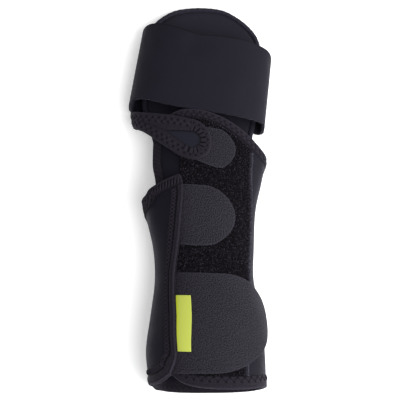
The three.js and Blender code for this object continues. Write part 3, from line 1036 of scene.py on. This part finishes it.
def thread_material(colours, name="sewing thread", light=1.0):
    if name in bpy.data.materials:
        return bpy.data.materials[name]
    material, tree, shader = new_material(name)
    place = add(tree, "ShaderNodeTexCoord").outputs["Object"]
    twist = add(tree, "ShaderNodeTexNoise", place, None, 1400.0, 2.0).outputs[0]
    tone = blend(tree, twist, *(shade_of(colours.thread, share * light) for share in (0.6, 1.4)))
    tree.links.new(tone, shader.inputs["Base Color"])
    emboss(tree, shader, twist, 0.4, 0.2 * MM)
    shader.inputs["Roughness"].default_value = 0.8
    surface(shader, specular=0.05)
    return material


def pile_material(colours):
    material, tree, shader = new_material("loop pile")
    own = add(tree, "ShaderNodeAttribute", attribute_name="shade").outputs["Fac"]
    place = add(tree, "ShaderNodeTexCoord").outputs["Object"]
    lint = add(tree, "ShaderNodeTexNoise", place, None, 900.0, 2.0).outputs[0]
    tone = blend(tree, own, *(shade_of(colours.pile, share) for share in PILE_TONES["loops"]))
    lint = maths(tree, "MULTIPLY", lint, 0.35)
    tone = blend(tree, lint, tone, shade_of(colours.pile, PILE_TONES["lint"]))
    tree.links.new(tone, shader.inputs["Base Color"])
    spread = add(tree, "ShaderNodeMapRange", own, 0.0, 1.0, 0.9, 0.5)
    tree.links.new(spread.outputs[0], shader.inputs["Roughness"])
    surface(shader, 0.02, specular=0.08)
    return material


def label_material(colours):
    """A woven ribbon, deeper in colour where it goes under the flap's edge."""
    material, tree, shader = new_material("woven label")
    uv = add(tree, "ShaderNodeUVMap", uv_map="cloth").outputs[0]
    place = add(tree, "ShaderNodeSeparateXYZ", uv)
    ways = zip(place.outputs, LABEL_THREADS)
    warp, weft = (ripple(tree, maths(tree, "MULTIPLY", way, count)) for way, count in ways)
    weave = maths(tree, "MULTIPLY", weft, maths(tree, "ADD", maths(tree, "MULTIPLY", warp, 0.4), 0.6))
    cloud = add(tree, "ShaderNodeTexNoise", uv, None, 0.12, 3.0).outputs[0]
    fold = add(tree, "ShaderNodeMapRange", place.outputs[0], *LABEL_FOLD, 1.0, 0.0).outputs[0]
    tone = blend(tree, weave, shade_of(colours.label, 0.82), shade_of(colours.label, 1.06))
    tone = blend(tree, maths(tree, "MULTIPLY", cloud, 0.25), tone, shade_of(colours.label, 0.8))
    tone = blend(tree, maths(tree, "MULTIPLY", fold, 0.8), tone, (*colours.label_fold, 1))
    tree.links.new(tone, shader.inputs["Base Color"])
    emboss(tree, shader, weave, 0.35, 0.2 * MM)
    shader.inputs["Roughness"].default_value = 0.55
    surface(shader, 0.03, specular=0.25)
    return material


def settle(piece, material, slot, *nodes):
    """Gives a piece its material and its body, and hides the frame's nodes that it stands for; the slot is
    not used.
    """
    piece.data.materials.clear()
    piece.data.materials.append(material)
    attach(piece, "root")
    if nodes:
        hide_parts(*nodes)
    return piece


def measure(name, description, default):
    return FloatProperty(name=name, description=description, default=default, unit="LENGTH")


def colour(name, description, default):
    return FloatVectorProperty(name=name, description=description, default=default, subtype="COLOR", size=3,
                               min=0, max=1)


def amount(name, description, default, **settings):
    return FloatProperty(name=name, description=description, default=default, min=0, **settings)


class SplintSizes(PropertyGroup):
    wall: measure("Neoprene", "Thickness of the wrap and the flap", 0.003)
    strap_wall: measure("Strap", "Thickness of the thumb strap", 0.0026)
    band_wall: measure("Band", "Thickness of the finger band", 0.0022)
    tape_rise: measure("Tape rise", "How far the edge tape stands above the cloth", 0.0006)
    pitch: measure("Stitch pitch", "Length of one zigzag of the edge stitches", 0.0052)
    thread: measure("Thread", "Radius of the sewing thread", 0.00023)
    pile_step: measure("Pile spacing", "Distance between the loops of the pile", 0.00085)
    pile_rise: measure("Pile height", "Height of the loops of the pile", 0.0011)


class SplintColours(PropertyGroup):
    neoprene: colour("Neoprene", "The wrap, the flap and the strap", (0.0051, 0.0044, 0.0086))
    paddle: colour("Paddle", "The cover of the finger paddle", (0.0138, 0.0126, 0.0199))
    band: colour("Band", "The knitted finger band", (0.0083, 0.0076, 0.0130))
    tape: colour("Edge tape", "The tape round the edges", (0.0118, 0.0098, 0.0149))
    hook: colour("Hook tabs", "The charcoal tabs", (0.0143, 0.0131, 0.0176))
    pile: colour("Pile", "The looped panel", (0.0036, 0.0030, 0.0043))
    label: colour("Label", "The side label", (0.4660, 0.5250, 0.0825))
    label_fold: colour("Label fold", "The side label beside the flap's edge", (0.46, 0.52, 0.008))
    selvedge: colour("Selvedge", "The woven edge of the looped panel", (0.0260, 0.0240, 0.0345))
    thread: colour("Thread", "The stitches", (0.0114, 0.0092, 0.0136))


class SplintStage(PropertyGroup):
    floor: colour("Floor", "The plain floor", (0.97, 0.97, 0.97))
    key: amount("Key light", "Power of the large light above", 20, unit="POWER")
    side: amount("Side light", "Power of the light on the right", 14, unit="POWER")
    fill: amount("Fill", "Strength of the light from all round", 0.75, subtype="FACTOR")
    glow: amount("Floor glow", "Light of the table under the floor", 0.25, subtype="FACTOR")
    lean: amount("Fill lean", "How much more of that light comes from the right", 0.45, subtype="FACTOR")
    front: amount("Fill front", "How much more of it comes from the front", 0.45, subtype="FACTOR")
    distance: measure("Distance", "Camera to the middle of the splint", 1.18)
    tilt: amount("Tilt", "Camera's lean from straight down", math.radians(10), subtype="ANGLE")
    lens: amount("Lens", "Focal length", 134.4, unit="CAMERA")


def add_camera(context, stage):
    back = np.array([0, -math.sin(stage.tilt), math.cos(stage.tilt)])
    place = np.array(CAMERA_AIM) + stage.distance * back
    deselect()
    bpy.ops.object.camera_add(location=place, rotation=(stage.tilt, 0, 0))
    camera = context.object
    camera.data.lens = stage.lens
    camera.data.sensor_width = SENSOR
    context.scene.camera = camera


def add_floor(context, stage):
    deselect()
    bpy.ops.mesh.primitive_plane_add(size=FLOOR_SIZE, location=(0, 0, -FLOOR_DROP))
    floor = context.object
    floor.name = "floor"
    material, tree, shader = new_material("pale floor")
    place = add(tree, "ShaderNodeTexCoord").outputs["Object"]
    grain = add(tree, "ShaderNodeTexNoise", place, None, 3.0, 2.0).outputs[0]
    tone = blend(tree, grain, shade_of(stage.floor, 0.985), shade_of(stage.floor, 1.01))
    tree.links.new(tone, shader.inputs["Base Color"])
    shader.inputs["Roughness"].default_value = 0.9
    shader.inputs["Specular IOR Level"].default_value = 0.1
    shader.inputs["Emission Color"].default_value = (1, 1, 1, 1)
    shader.inputs["Emission Strength"].default_value = stage.glow
    floor.data.materials.append(material)


def add_light(context, place, turn, size, power):
    deselect()
    bpy.ops.object.light_add(type="AREA", location=place, rotation=[math.radians(angle) for angle in turn])
    light = context.object
    light.data.size = size
    light.data.energy = power


def light_room(scene, stage):
    """A white room, brighter on the right and in front."""
    world = scene.world or bpy.data.worlds.new("soft room")
    scene.world = world
    world.use_nodes = True
    tree = world.node_tree
    sky = next(n for n in tree.nodes if n.type == "BACKGROUND")
    sky.inputs["Color"].default_value = (1, 1, 1, 1)
    way = add(tree, "ShaderNodeSeparateXYZ", add(tree, "ShaderNodeTexCoord").outputs["Generated"])
    side = maths(tree, "MULTIPLY", way.outputs[0], stage.fill * stage.lean)
    front = maths(tree, "MULTIPLY", way.outputs[1], -stage.fill * stage.front)
    glow = maths(tree, "ADD", maths(tree, "ADD", side, front), stage.fill)
    tree.links.new(maths(tree, "MAXIMUM", glow, 0.05), sky.inputs["Strength"])


class SPLINT_OT_stage(Operator):
    """Makes the camera, the plain floor and the soft lights"""
    bl_idname = "splint.stage"
    bl_label = "Stage"

    def execute(self, context):
        stage = context.scene.splint_stage
        add_camera(context, stage)
        add_floor(context, stage)
        add_light(context, *KEY_LIGHT, stage.key)
        add_light(context, *SIDE_LIGHT, stage.side)
        light_room(context.scene, stage)
        context.scene.view_settings.view_transform = "Standard"
        return {"FINISHED"}


def colours_and_lengths(context, wall="wall"):
    """The colours, and the wall, the tape's rise, the stitch pitch and the thread in millimetres."""
    sizes = context.scene.splint_sizes
    lengths = [getattr(sizes, name) / MM for name in (wall, "tape_rise", "pitch", "thread")]
    return context.scene.splint_colours, *lengths


class SPLINT_OT_wrap(Operator):
    """Makes the neoprene wrap with its edge tapes and stitches"""
    bl_idname = "splint.wrap"
    bl_label = "Body wrap"

    def execute(self, context):
        colours, wall, rise, pitch, thread = colours_and_lengths(context)
        cloth = Cloth(level(0))
        patch = Patch(edge_points(WRAP_EDGES, 0))
        shell = cloth_sheet("wrap_cloth", patch, cloth, wall)
        settle(shell, neoprene(colours), "neoprene", "body_wrap")
        tapes, runs, inner = [], [], []
        for edge, cut in WRAP_TAPES.items():
            line, inward = patch.line(edge, cloth)
            # Without rows of pits, a tape gets faint slanted grooves, painted darker as shade.
            sewing = slants(0.8, 0.8, pitch=3.6, lean=0.6, size=1.1, depth=0.35)
            if cut["rows"]:
                step = pitch * cut["stretch"]
                sewing = pits(*cut["rows"], step, puff=cut["puff"], depth=cut["depth"])
                runs.append(zigzag(line, inward, *cut["rows"], step))
            tapes.append(tape(f"wrap_{edge}", line, inward, cloth, wall, cut["width"], rise, sewing,
                              edge=cut["pale"], shut=cut["shut"]))
            inner.append(zigzag(line, inward, *WRAP_INNER_ROWS, pitch))
        bound = settle(join("wrap_tape", tapes), edge_tape(colours), "edge_tape")
        outer = sewn("wrap_stitches", runs, cloth, rise, thread)
        within = sewn("wrap_inner_stitches", inner, cloth, -wall - TAPE_UNDER, thread, lift=-0.3)
        seams = settle(join("wrap_stitches", [outer, within]), thread_material(colours), "edge_tape")
        flat, area = patch.cut(cloth)
        return {"FINISHED"}


def flap_front(patch, cloth, wall, rise, pitch):
    """The flap's bottom and front as one line: a sunk column of crossed threads beside a rolled fold."""
    front = np.concatenate([patch.line("bottom", cloth)[0], patch.line("right", cloth)[0][1:]])
    line, inward = with_inward(front, "bottom")
    low_end = smooth((-128 - line[:, 1]) / 14)
    top_end = smooth((line[:, 1] + 4) / 4)
    shift = FLAP_SHIFT * low_end
    step = pitch * 1.2
    # The column's sunk band and the line along its front are painted darker as shade; the fold's dotted pits
    # are painted shade, and its rim gets a painted highlight, stronger toward the low end.
    column = tape("flap_column", line, inward, cloth, wall, FLAP_WIDTHS["column"] + shift, rise * 0.8,
                  crosses(*FLAP_COLUMN, step, shift), under=0.2, edge=0)
    fold = tape("flap_fold", line, inward, cloth, wall, FLAP_WIDTHS["fold"] + shift, rise * 1.2,
                pits(1.5, 1.5, step / 2, size=0.4, puff=0), roll=0.7 - 0.55 * top_end, under=0.25,
                edge=0.05 + 0.4 * low_end, deep=0.3)
    threads = []
    for rows in (FLAP_COLUMN, FLAP_COLUMN[::-1]):
        starts, ends = zigzag(line, inward, *rows, step, shift=shift)
        below = starts[:, 1] < FLAP_SEAM
        threads.append((starts[below], ends[below]))
    return [column, fold], threads


def flap_top(patch, cloth, wall, rise):
    """The overlocked tape on the flap's top, which lies over the fold and ends along the flap's front."""
    corner, below = patch.line("right", cloth)[0][[-1, -16]]
    line, inward = patch.line("top", cloth)
    gone = gone_along(line)
    lean = smooth(1 - (gone[-1] - gone) / 9)[:, None]
    inward = inward * (1 - lean) + unit(below - corner) * lean
    wide = 8.6 + 4.4 * smooth((-34 - line[:, 0]) / 26)
    # Its grooves between the stitches are painted darker as shade, its rim a faint painted highlight.
    sewing = slants(1.0, 0.8, OVERLOCK["pitch"], lean=0.5)
    piece = tape("flap_top", line, inward, cloth, wall, wide, rise * 1.9, sewing, under=0.25, edge=0.1)
    at, into = spaced(line, inward, OVERLOCK["pitch"])
    ahead = spaced(line, inward, OVERLOCK["pitch"], OVERLOCK["lean"])[0][: len(at)]
    at, into = at[: len(ahead)], into[: len(ahead)]
    reach = read_row(wide, np.linspace(0, 1, len(at)))[:, None] - SEAM_MARGIN
    return piece, (ahead + into * OVERLOCK["low"], at + into * reach)


class SPLINT_OT_flap(Operator):
    """Makes the forearm flap with its folded front edge, tapes and stitches"""
    bl_idname = "splint.flap"
    bl_label = "Forearm flap"

    def execute(self, context):
        colours, wall, rise, pitch, thread = colours_and_lengths(context)
        cloth = Cloth(climb(FLAP_CLIMB, wall, FLAP_FRONT))
        patch = Patch(edge_points(FLAP_EDGES, FLAP_FRONT + wall / 2))
        shell = cloth_sheet("flap_cloth", patch, cloth, wall)
        settle(shell, neoprene(colours), "neoprene", "forearm_flap")
        tapes, pale = flap_front(patch, cloth, wall, rise, pitch)
        top, overlock = flap_top(patch, cloth, wall, rise)
        line, inward = patch.line("left", cloth)
        # Its pits are painted shade, its rim a faint painted highlight.
        root = tape("flap_left", line, inward, cloth, wall, 5.0, rise * 1.1, pits(*FLAP_ROOT_ROWS, pitch),
                    under=0.25, edge=0.2)
        bound = settle(join("flap_tape", [*tapes, top, root]), edge_tape(colours), "edge_tape")
        seams = sewn("flap_stitches", [zigzag(line, inward, *FLAP_ROOT_ROWS, pitch)], cloth, rise, thread)
        seams = settle(seams, thread_material(colours), "edge_tape")
        crossed = sewn("flap_crosses", [*pale, overlock], cloth, rise, thread * 1.45)
        crossed = settle(crossed, thread_material(colours, "pale thread", 2.1), "edge_tape")
        flat, area = patch.cut(cloth)
        return {"FINISHED"}


def border_width(line, inward):
    """How far the strap's border reaches in from its edge, and how near that is to the island's round end."""
    middle = [(reach, (low + high) / 2) for reach, low, high in THUMB_STRAP[0] if reach < ISLAND_TIP[0] - 8]
    root = (middle[0][0] - 12, middle[0][1] - 4)
    before, after = 480, 120
    to_tip = even(spline([root, *middle, ISLAND_TIP]), before)
    spine = np.concatenate([to_tip, even(np.array([ISLAND_TIP, ISLAND_END]), after)])
    share = np.concatenate([np.zeros(before), np.linspace(0, 1, after)])
    wide, near = np.empty(len(line)), np.empty(len(line))
    steps = np.arange(1.5, 20, 0.15)
    for k, (place, into) in enumerate(zip(line, inward)):
        ray = place + into * steps[:, None]
        gap = np.linalg.norm(ray[:, None] - spine[None], axis=2) - ISLAND_RADIUS * share
        hit = int(np.argmax(gap.min(1) < 0.25))
        wide[k] = steps[hit]
        near[k] = share[int(np.argmin(gap[hit]))]
    beside = 7
    ease = np.ones(2 * beside + 1) / (2 * beside + 1)
    return (np.convolve(np.pad(value, beside, mode="edge"), ease, mode="valid") for value in (wide, near))


class SPLINT_OT_strap(Operator):
    """Makes the thumb strap with its sewn border round a smooth island"""
    bl_idname = "splint.strap"
    bl_label = "Thumb strap"

    def execute(self, context):
        colours, wall, rise, pitch, thread = colours_and_lengths(context, "strap_wall")
        cloth = Cloth(climb(STRAP_CLIMB, wall, STRAP_FRONT))
        patch = Leaf(strap_edges(THUMB_STRAP, Cloth(level(STRAP_FRONT + wall / 2))))
        shell = cloth_sheet("strap_cloth", patch, cloth, wall)
        settle(shell, strap_jersey(colours), "neoprene", "thumb_strap")
        low, end, high = (patch.line(edge, cloth)[0] for edge in ("bottom", "right", "top"))
        line, inward = with_inward(np.concatenate([low, end[1:-1], high[::-1]]), "bottom")
        wide, near = border_width(line, inward)
        round_end = smooth((near - 0.82) / 0.14)
        # The border's pits and slots are painted shade, with painted highlight on the puffs between and
        # faintly along its rim; where its two sides meet, shut takes away the step and its painted shade.
        border = tape("strap_border", line, inward, cloth, wall, wide, rise * 1.2,
                      strap_sewing(pitch, round_end), roll=0.5, under=0.2, edge=0.12,
                      shut=1 - smooth(near / 0.25))
        border = settle(border, edge_tape(colours), "edge_tape")
        starts, ends = zigzag(line, inward, *STRAP_ROWS, pitch, cap=wide - SEAM_MARGIN)
        gone = pitch / 2 * np.arange(1, len(starts) + 1)
        straight = np.interp(gone, gone_along(line), round_end) < 0.3
        seams = sewn("strap_stitches", [(starts[straight], ends[straight])], cloth, rise * 1.2 + 0.3, thread)
        seams = settle(seams, thread_material(colours), "edge_tape")
        flat, area = patch.cut(cloth)
        return {"FINISHED"}


def pile_covers(cloth, wall, strap_wall):
    """Outlines of the pieces that lie over the looped panel."""
    straps = [(tab, TAB_LAYER[1]) for tab in TABS.values()] + [(THUMB_STRAP, STRAP_FRONT + strap_wall / 2)]
    patches = [Patch(strap_edges(strap, Cloth(level(height)))) for strap, height in straps]
    patches.append(Patch(edge_points(FLAP_EDGES, FLAP_FRONT + wall / 2)))
    return [patch.ring(cloth)[::OUTLINE_STRIDE] for patch in patches]


def pile_spots(outline, covers, step, seed):
    """Where the loops of the pile stand: a shaken grid on the panel, left out where a piece covers it."""
    low, high = outline.min(0), outline.max(0)
    grid = np.meshgrid(*(np.arange(low[k], high[k], step) for k in (0, 1)))
    spots = np.stack(grid, -1).reshape(-1, 2)
    spots = spots + seed.uniform(-PILE["shake"], PILE["shake"], spots.shape) * step
    spots = spots[inside(spots, outline, PILE["border"])]
    for cover in covers:
        spots = spots[~inside(spots, cover, PILE["under"])]
    return spots


def tufts(spots, seed, cells=300):
    """How far the pile stands up in tufts, from 0 to 1."""
    grid = seed.random((cells, cells)) ** PILE["sharp"]
    cell = (spots - spots.min(0)) / PILE["tuft"]
    i = cell.astype(int)
    across, up = smooth(cell - i).T

    def at(a, b):
        return grid[(i[:, 0] + a) % cells, (i[:, 1] + b) % cells]
    low = at(0, 0) * (1 - across) + at(1, 0) * across
    return low * (1 - up) + (at(0, 1) * (1 - across) + at(1, 1) * across) * up


def loops(spots, cloth, height, seed):
    """The pile: a small open loop at each spot, turned and leaning at random."""
    count, rings, sides = len(spots), 5, 3
    turn = seed.uniform(0, 2 * np.pi, count)
    wide = seed.uniform(*PILE["wide"], count)
    clump = tufts(spots, seed)
    tall = height * (0.55 + 0.75 * clump)
    lean = seed.normal(0, PILE["lean"], (count, 2))
    thick = seed.uniform(*PILE["thick"], count)
    shade = np.clip(clump * seed.uniform(*PILE["shade"], count), 0, 1)
    t = np.linspace(0, np.pi, rings)
    across = np.stack([np.cos(turn), np.sin(turn)], -1)
    flat = spots[:, None] + across[:, None] * (wide[:, None] * np.cos(t))[..., None]
    flat = flat + lean[:, None] * np.sin(t)[None, :, None]
    rise = tall[:, None] * np.sin(t)[None] - PILE["foot"]
    middle = cloth.place(flat, rise)
    out = cloth.place(flat, rise + 1) - middle + 0.01
    points, faces = tubes(middle, out, thick[:, None, None, None], sides)
    return array_mesh("loop_pile", points, faces, shade=np.repeat(shade, rings * sides))


class SPLINT_OT_loop_panel(Operator):
    """Makes the looped panel: its backing, its selvedge and its pile"""
    bl_idname = "splint.loop_panel"
    bl_label = "Loop panel"

    def execute(self, context):
        sizes, colours = context.scene.splint_sizes, context.scene.splint_colours
        low, high = LOOP_LAYER
        cloth = Cloth(level(high))
        patch = Patch(edge_points(LOOP_EDGES, LOOP_EDGE_HEIGHT))
        backing = cloth_sheet("loop_cloth", patch, cloth, high - low, soft=0.25)
        settle(backing, loop_base(colours), "loop_pile", "loop_panel")
        seed = np.random.default_rng(7)
        covers = pile_covers(cloth, sizes.wall / MM, sizes.strap_wall / MM)
        spots = pile_spots(patch.ring(cloth)[::OUTLINE_STRIDE], covers, sizes.pile_step / MM, seed)
        pile = settle(loops(spots, cloth, sizes.pile_rise / MM, seed), pile_material(colours), "loop_pile")
        # The selvedge's dotted pits are painted shade and its rim a faint painted highlight.
        sewing = pits(SELVEDGE["row"], SELVEDGE["row"], SELVEDGE["pitch"], size=0.5, puff=0)
        strip = tape("loop_selvedge", *patch.line("right", cloth), cloth, high - low, SELVEDGE["width"],
                     SELVEDGE["rise"], sewing, under=0.1, edge=0.1, deep=0.3)
        strip = settle(strip, selvedge(colours), "edge_tape")
        runs = [row_of(*patch.line(edge, cloth), *row) for edge, rows in LOOP_ROWS.items() for row in rows]
        seams = sewn("loop_stitches", runs, cloth, **LOOP_THREAD)
        seams = settle(seams, selvedge(colours), "edge_tape")
        flat, area = patch.cut(cloth)
        return {"FINISHED"}


class SPLINT_OT_tabs(Operator):
    """Makes the three charcoal tabs"""
    bl_idname = "splint.tabs"
    bl_label = "Hook tabs"

    def execute(self, context):
        colours = context.scene.splint_colours
        low, high = TAB_LAYER
        cloth = Cloth(level(high))
        for name, tab in TABS.items():
            patch = Patch(strap_edges(tab, cloth))
            piece = cloth_sheet(f"{name}_cloth", patch, cloth, high - low, soft=0.35, cut_edge=0.55)
            settle(piece, hook_fabric(colours), "hook_tab", name)
            flat, area = patch.cut(cloth)
        return {"FINISHED"}


class SPLINT_OT_label(Operator):
    """Makes the bare side label"""
    bl_idname = "splint.label"
    bl_label = "Side label"

    def execute(self, context):
        colours = context.scene.splint_colours
        low, high = LABEL_LAYER
        cloth = Cloth(level(high))
        patch = Patch(strap_edges(SIDE_LABEL, cloth))
        piece = cloth_sheet("label_ribbon", patch, cloth, high - low, soft=0.2)
        settle(piece, label_material(colours), "label", "side_label")
        flat, area = patch.cut(cloth)
        return {"FINISHED"}


def band_place(degrees, s, height):
    """Points of the finger band in the frame, from the angle round it and the share s along it."""
    half = BAND_HALF[0] + (BAND_HALF[1] - BAND_HALF[0]) * s
    x, z = on_section(degrees, 0, half, height=height + dents(BAND_DENTS, degrees, s), **BAND_SECTION)

    def corner(far, wide, deep):
        return deep * (1 - np.sqrt(1 - np.clip((far - half + wide) / wide, 0, 1) ** 2))
    # The far edge: rounded corners, lower on the right, a hollow in the middle and a rise on the left.
    dip = corner(-x, 9, 6) + corner(x, 6, 4.5) + 4.5 * np.clip((x - half + 20) / 20, 0, 1)
    dip = dip + 1.4 * bell((x + 4) / 10) - 3.6 * smooth((-x - 8) / 30)
    # The near edge: a bow on the upper left, a lip under each side and a slightly ragged cut.
    bow = 3.2 * smooth((x + half) / 5) * bell((x + 46) / 17) * (z > BAND_SECTION["waist"])
    under = smooth((BAND_SECTION["waist"] + 8 - z) / 16)
    lip = np.where(x > 0, BAND_LIP["right"], BAND_LIP["left"])
    lip = lip * under * smooth((np.abs(x) / half - 0.5) / 0.45)
    ragged = 0.3 * np.sin(degrees * 0.9) * np.sin(degrees * 0.37 + 1) * (1 - s) ** 6
    low = BAND_RUN[0] + bow - lip
    y = low + (BAND_RUN[1] - dip - low) * s + ragged
    x = x + BAND_SHIFT[0] + (BAND_SHIFT[1] - BAND_SHIFT[0]) * s
    z = np.maximum(np.maximum(z, -height), 0)
    c, sn = math.cos(BAND_TURN), math.sin(BAND_TURN)
    return np.stack([BAND_PLACE[0] + c * x - sn * y, BAND_PLACE[1] + sn * x + c * y, z], -1)


class SPLINT_OT_band(Operator):
    """Makes the knitted finger band"""
    bl_idname = "splint.band"
    bl_label = "Finger band"

    def execute(self, context):
        wall = context.scene.splint_sizes.band_wall / MM

        def place(u, v):
            points = band_place(-90 + 360 * u, v, np.zeros_like(u))
            # The far edge is painted darker: a painted shadow along where the band's edge lies over the
            # paddle.
            return points, np.stack([u, v], -1) * BAND_UV, 0.8 * smooth((v - 0.98) / 0.02)
        band = lay_grid("band_cloth", place)
        weld(band)
        thicken(band, wall, soft=0.7)
        settle(band, band_knit(context.scene.splint_colours), "band_knit", "finger_band")
        middle = band_place(np.linspace(-90, 270, 361), np.full(361, 0.5), np.full(361, -wall / 2))
        return {"FINISHED"}


def paddle_outline(inset, count):
    """The paddle's outline, moved in from its edge."""
    rights, lefts = PADDLE[:, [2, 0]], PADDLE[::-1, [1, 0]]
    line = spline(np.concatenate([rights, [(0, PADDLE_TIP)], lefts, rights[:1]]), count + 1)
    run = unit(np.gradient(line, axis=0))
    return (line + np.stack([-run[:, 1], run[:, 0]], -1) * inset)[:-1]


def paddle_pad():
    """The padded plate: rings from a ridge along its middle over its round edge to the flat underside."""
    edge = paddle_outline(PAD["inset"], 360)
    spine = np.column_stack([np.full(len(edge), PAD["spine"]), np.clip(edge[:, 1], *PAD["spine_run"])])
    far = np.linalg.norm(edge - spine, axis=1)
    low, half, step = PAD["low"], PAD["half"], PAD["ridge_step"]
    ridge = np.column_stack([spine[:, 0], np.round(spine[:, 1] / step) * step])

    def ring(share, side):
        gap = share * far
        swell = half * np.sqrt(np.clip(1 - (1 - np.clip(gap / PAD["edge"], 0, 1)) ** 2, 0, 1))
        crown = PAD["crown"] * (1 - np.exp(-gap / PAD["fall"])) * (side > 0)
        return np.column_stack([spine + (edge - spine) * (1 - share), low + half + side * swell + crown])
    rings = [np.column_stack([ridge, np.full(len(edge), low + PAD["ridge"])])]
    rings += [ring(share, 1) for share in PAD_RINGS]
    rings += [ring(share, -1) for share in PAD_RINGS[::-1][1:]]
    rings.append(np.column_stack([ridge, np.full(len(edge), low)]))
    points = np.concatenate(rings)
    pad = array_mesh("paddle_pad", points, ring_faces(len(rings), len(edge)).tolist(), points[:, :2])
    weld(pad)
    face_solid_out(pad)
    return pad


def paddle_welt(pitch):
    """The bound edge round the paddle: a round cord, slightly waved by its stitches."""
    line = paddle_outline(0, 720)
    run = unit(np.roll(line, -1, axis=0) - np.roll(line, 1, axis=0))
    inward = np.stack([-run[:, 1], run[:, 0]], -1)
    gone = gone_along(line)[:, None]
    turn = np.linspace(0, 2 * np.pi, WELT["sides"], endpoint=False)[None]
    half = WELT["width"] / 2
    tall, middle = (WELT["high"] - WELT["low"]) / 2, (WELT["high"] + WELT["low"]) / 2
    wave = 1 + WELT["wave"] * np.sin(2 * np.pi * gone / pitch)
    d = half - half * curl(np.cos(turn), WELT["square"]) * wave
    z = middle + tall * curl(np.sin(turn), WELT["square"]) * wave
    points = np.concatenate([line[:, None] + inward[:, None] * d[..., None], z[..., None]], -1).reshape(-1, 3)
    uv = np.stack(np.broadcast_arrays(gone, turn * 2), -1).reshape(-1, 2)
    welt = array_mesh("paddle_welt", points, ring_faces(len(line), WELT["sides"], True), uv)
    face_solid_out(welt)
    return welt


class SPLINT_OT_paddle(Operator):
    """Makes the padded finger paddle and its welt"""
    bl_idname = "splint.paddle"
    bl_label = "Finger paddle"

    def execute(self, context):
        sizes, colours = context.scene.splint_sizes, context.scene.splint_colours
        pad = settle(paddle_pad(), lining(colours), "paddle_cover", "finger_paddle")
        settle(paddle_welt(sizes.pitch / MM), welt_tape(colours), "edge_tape", "paddle_binding")
        return {"FINISHED"}


PIECES = (SPLINT_OT_wrap, SPLINT_OT_paddle, SPLINT_OT_loop_panel, SPLINT_OT_tabs, SPLINT_OT_label,
          SPLINT_OT_flap, SPLINT_OT_strap, SPLINT_OT_band)


class SPLINT_PT_sidebar(Panel):
    bl_idname = "SPLINT_PT_sidebar"
    bl_label = "Splint"
    bl_space_type = "VIEW_3D"
    bl_region_type = "UI"
    bl_category = "Splint"

    def draw(self, context):
        scene = context.scene
        for group in (scene.splint_sizes, scene.splint_colours, scene.splint_stage):
            box = self.layout.box()
            for name in group.__annotations__:
                box.prop(group, name)
        for operator in (SPLINT_OT_stage, *PIECES):
            self.layout.operator(operator.bl_idname)


CLASSES = (SplintSizes, SplintColours, SplintStage, SPLINT_OT_stage, *PIECES, SPLINT_PT_sidebar)


def register():
    for kind in CLASSES:
        bpy.utils.register_class(kind)
    bpy.types.Scene.splint_sizes = PointerProperty(type=SplintSizes)
    bpy.types.Scene.splint_colours = PointerProperty(type=SplintColours)
    bpy.types.Scene.splint_stage = PointerProperty(type=SplintStage)


def unregister():
    for name in ("splint_sizes", "splint_colours", "splint_stage"):
        delattr(bpy.types.Scene, name)
    for kind in reversed(CLASSES):
        bpy.utils.unregister_class(kind)


def main():
    register()
    bpy.ops.splint.stage()
    bpy.ops.splint.wrap()
    bpy.ops.splint.paddle()
    bpy.ops.splint.loop_panel()
    bpy.ops.splint.tabs()
    bpy.ops.splint.label()
    bpy.ops.splint.flap()
    bpy.ops.splint.strap()
    bpy.ops.splint.band()


if __name__ == "__main__":
    main()
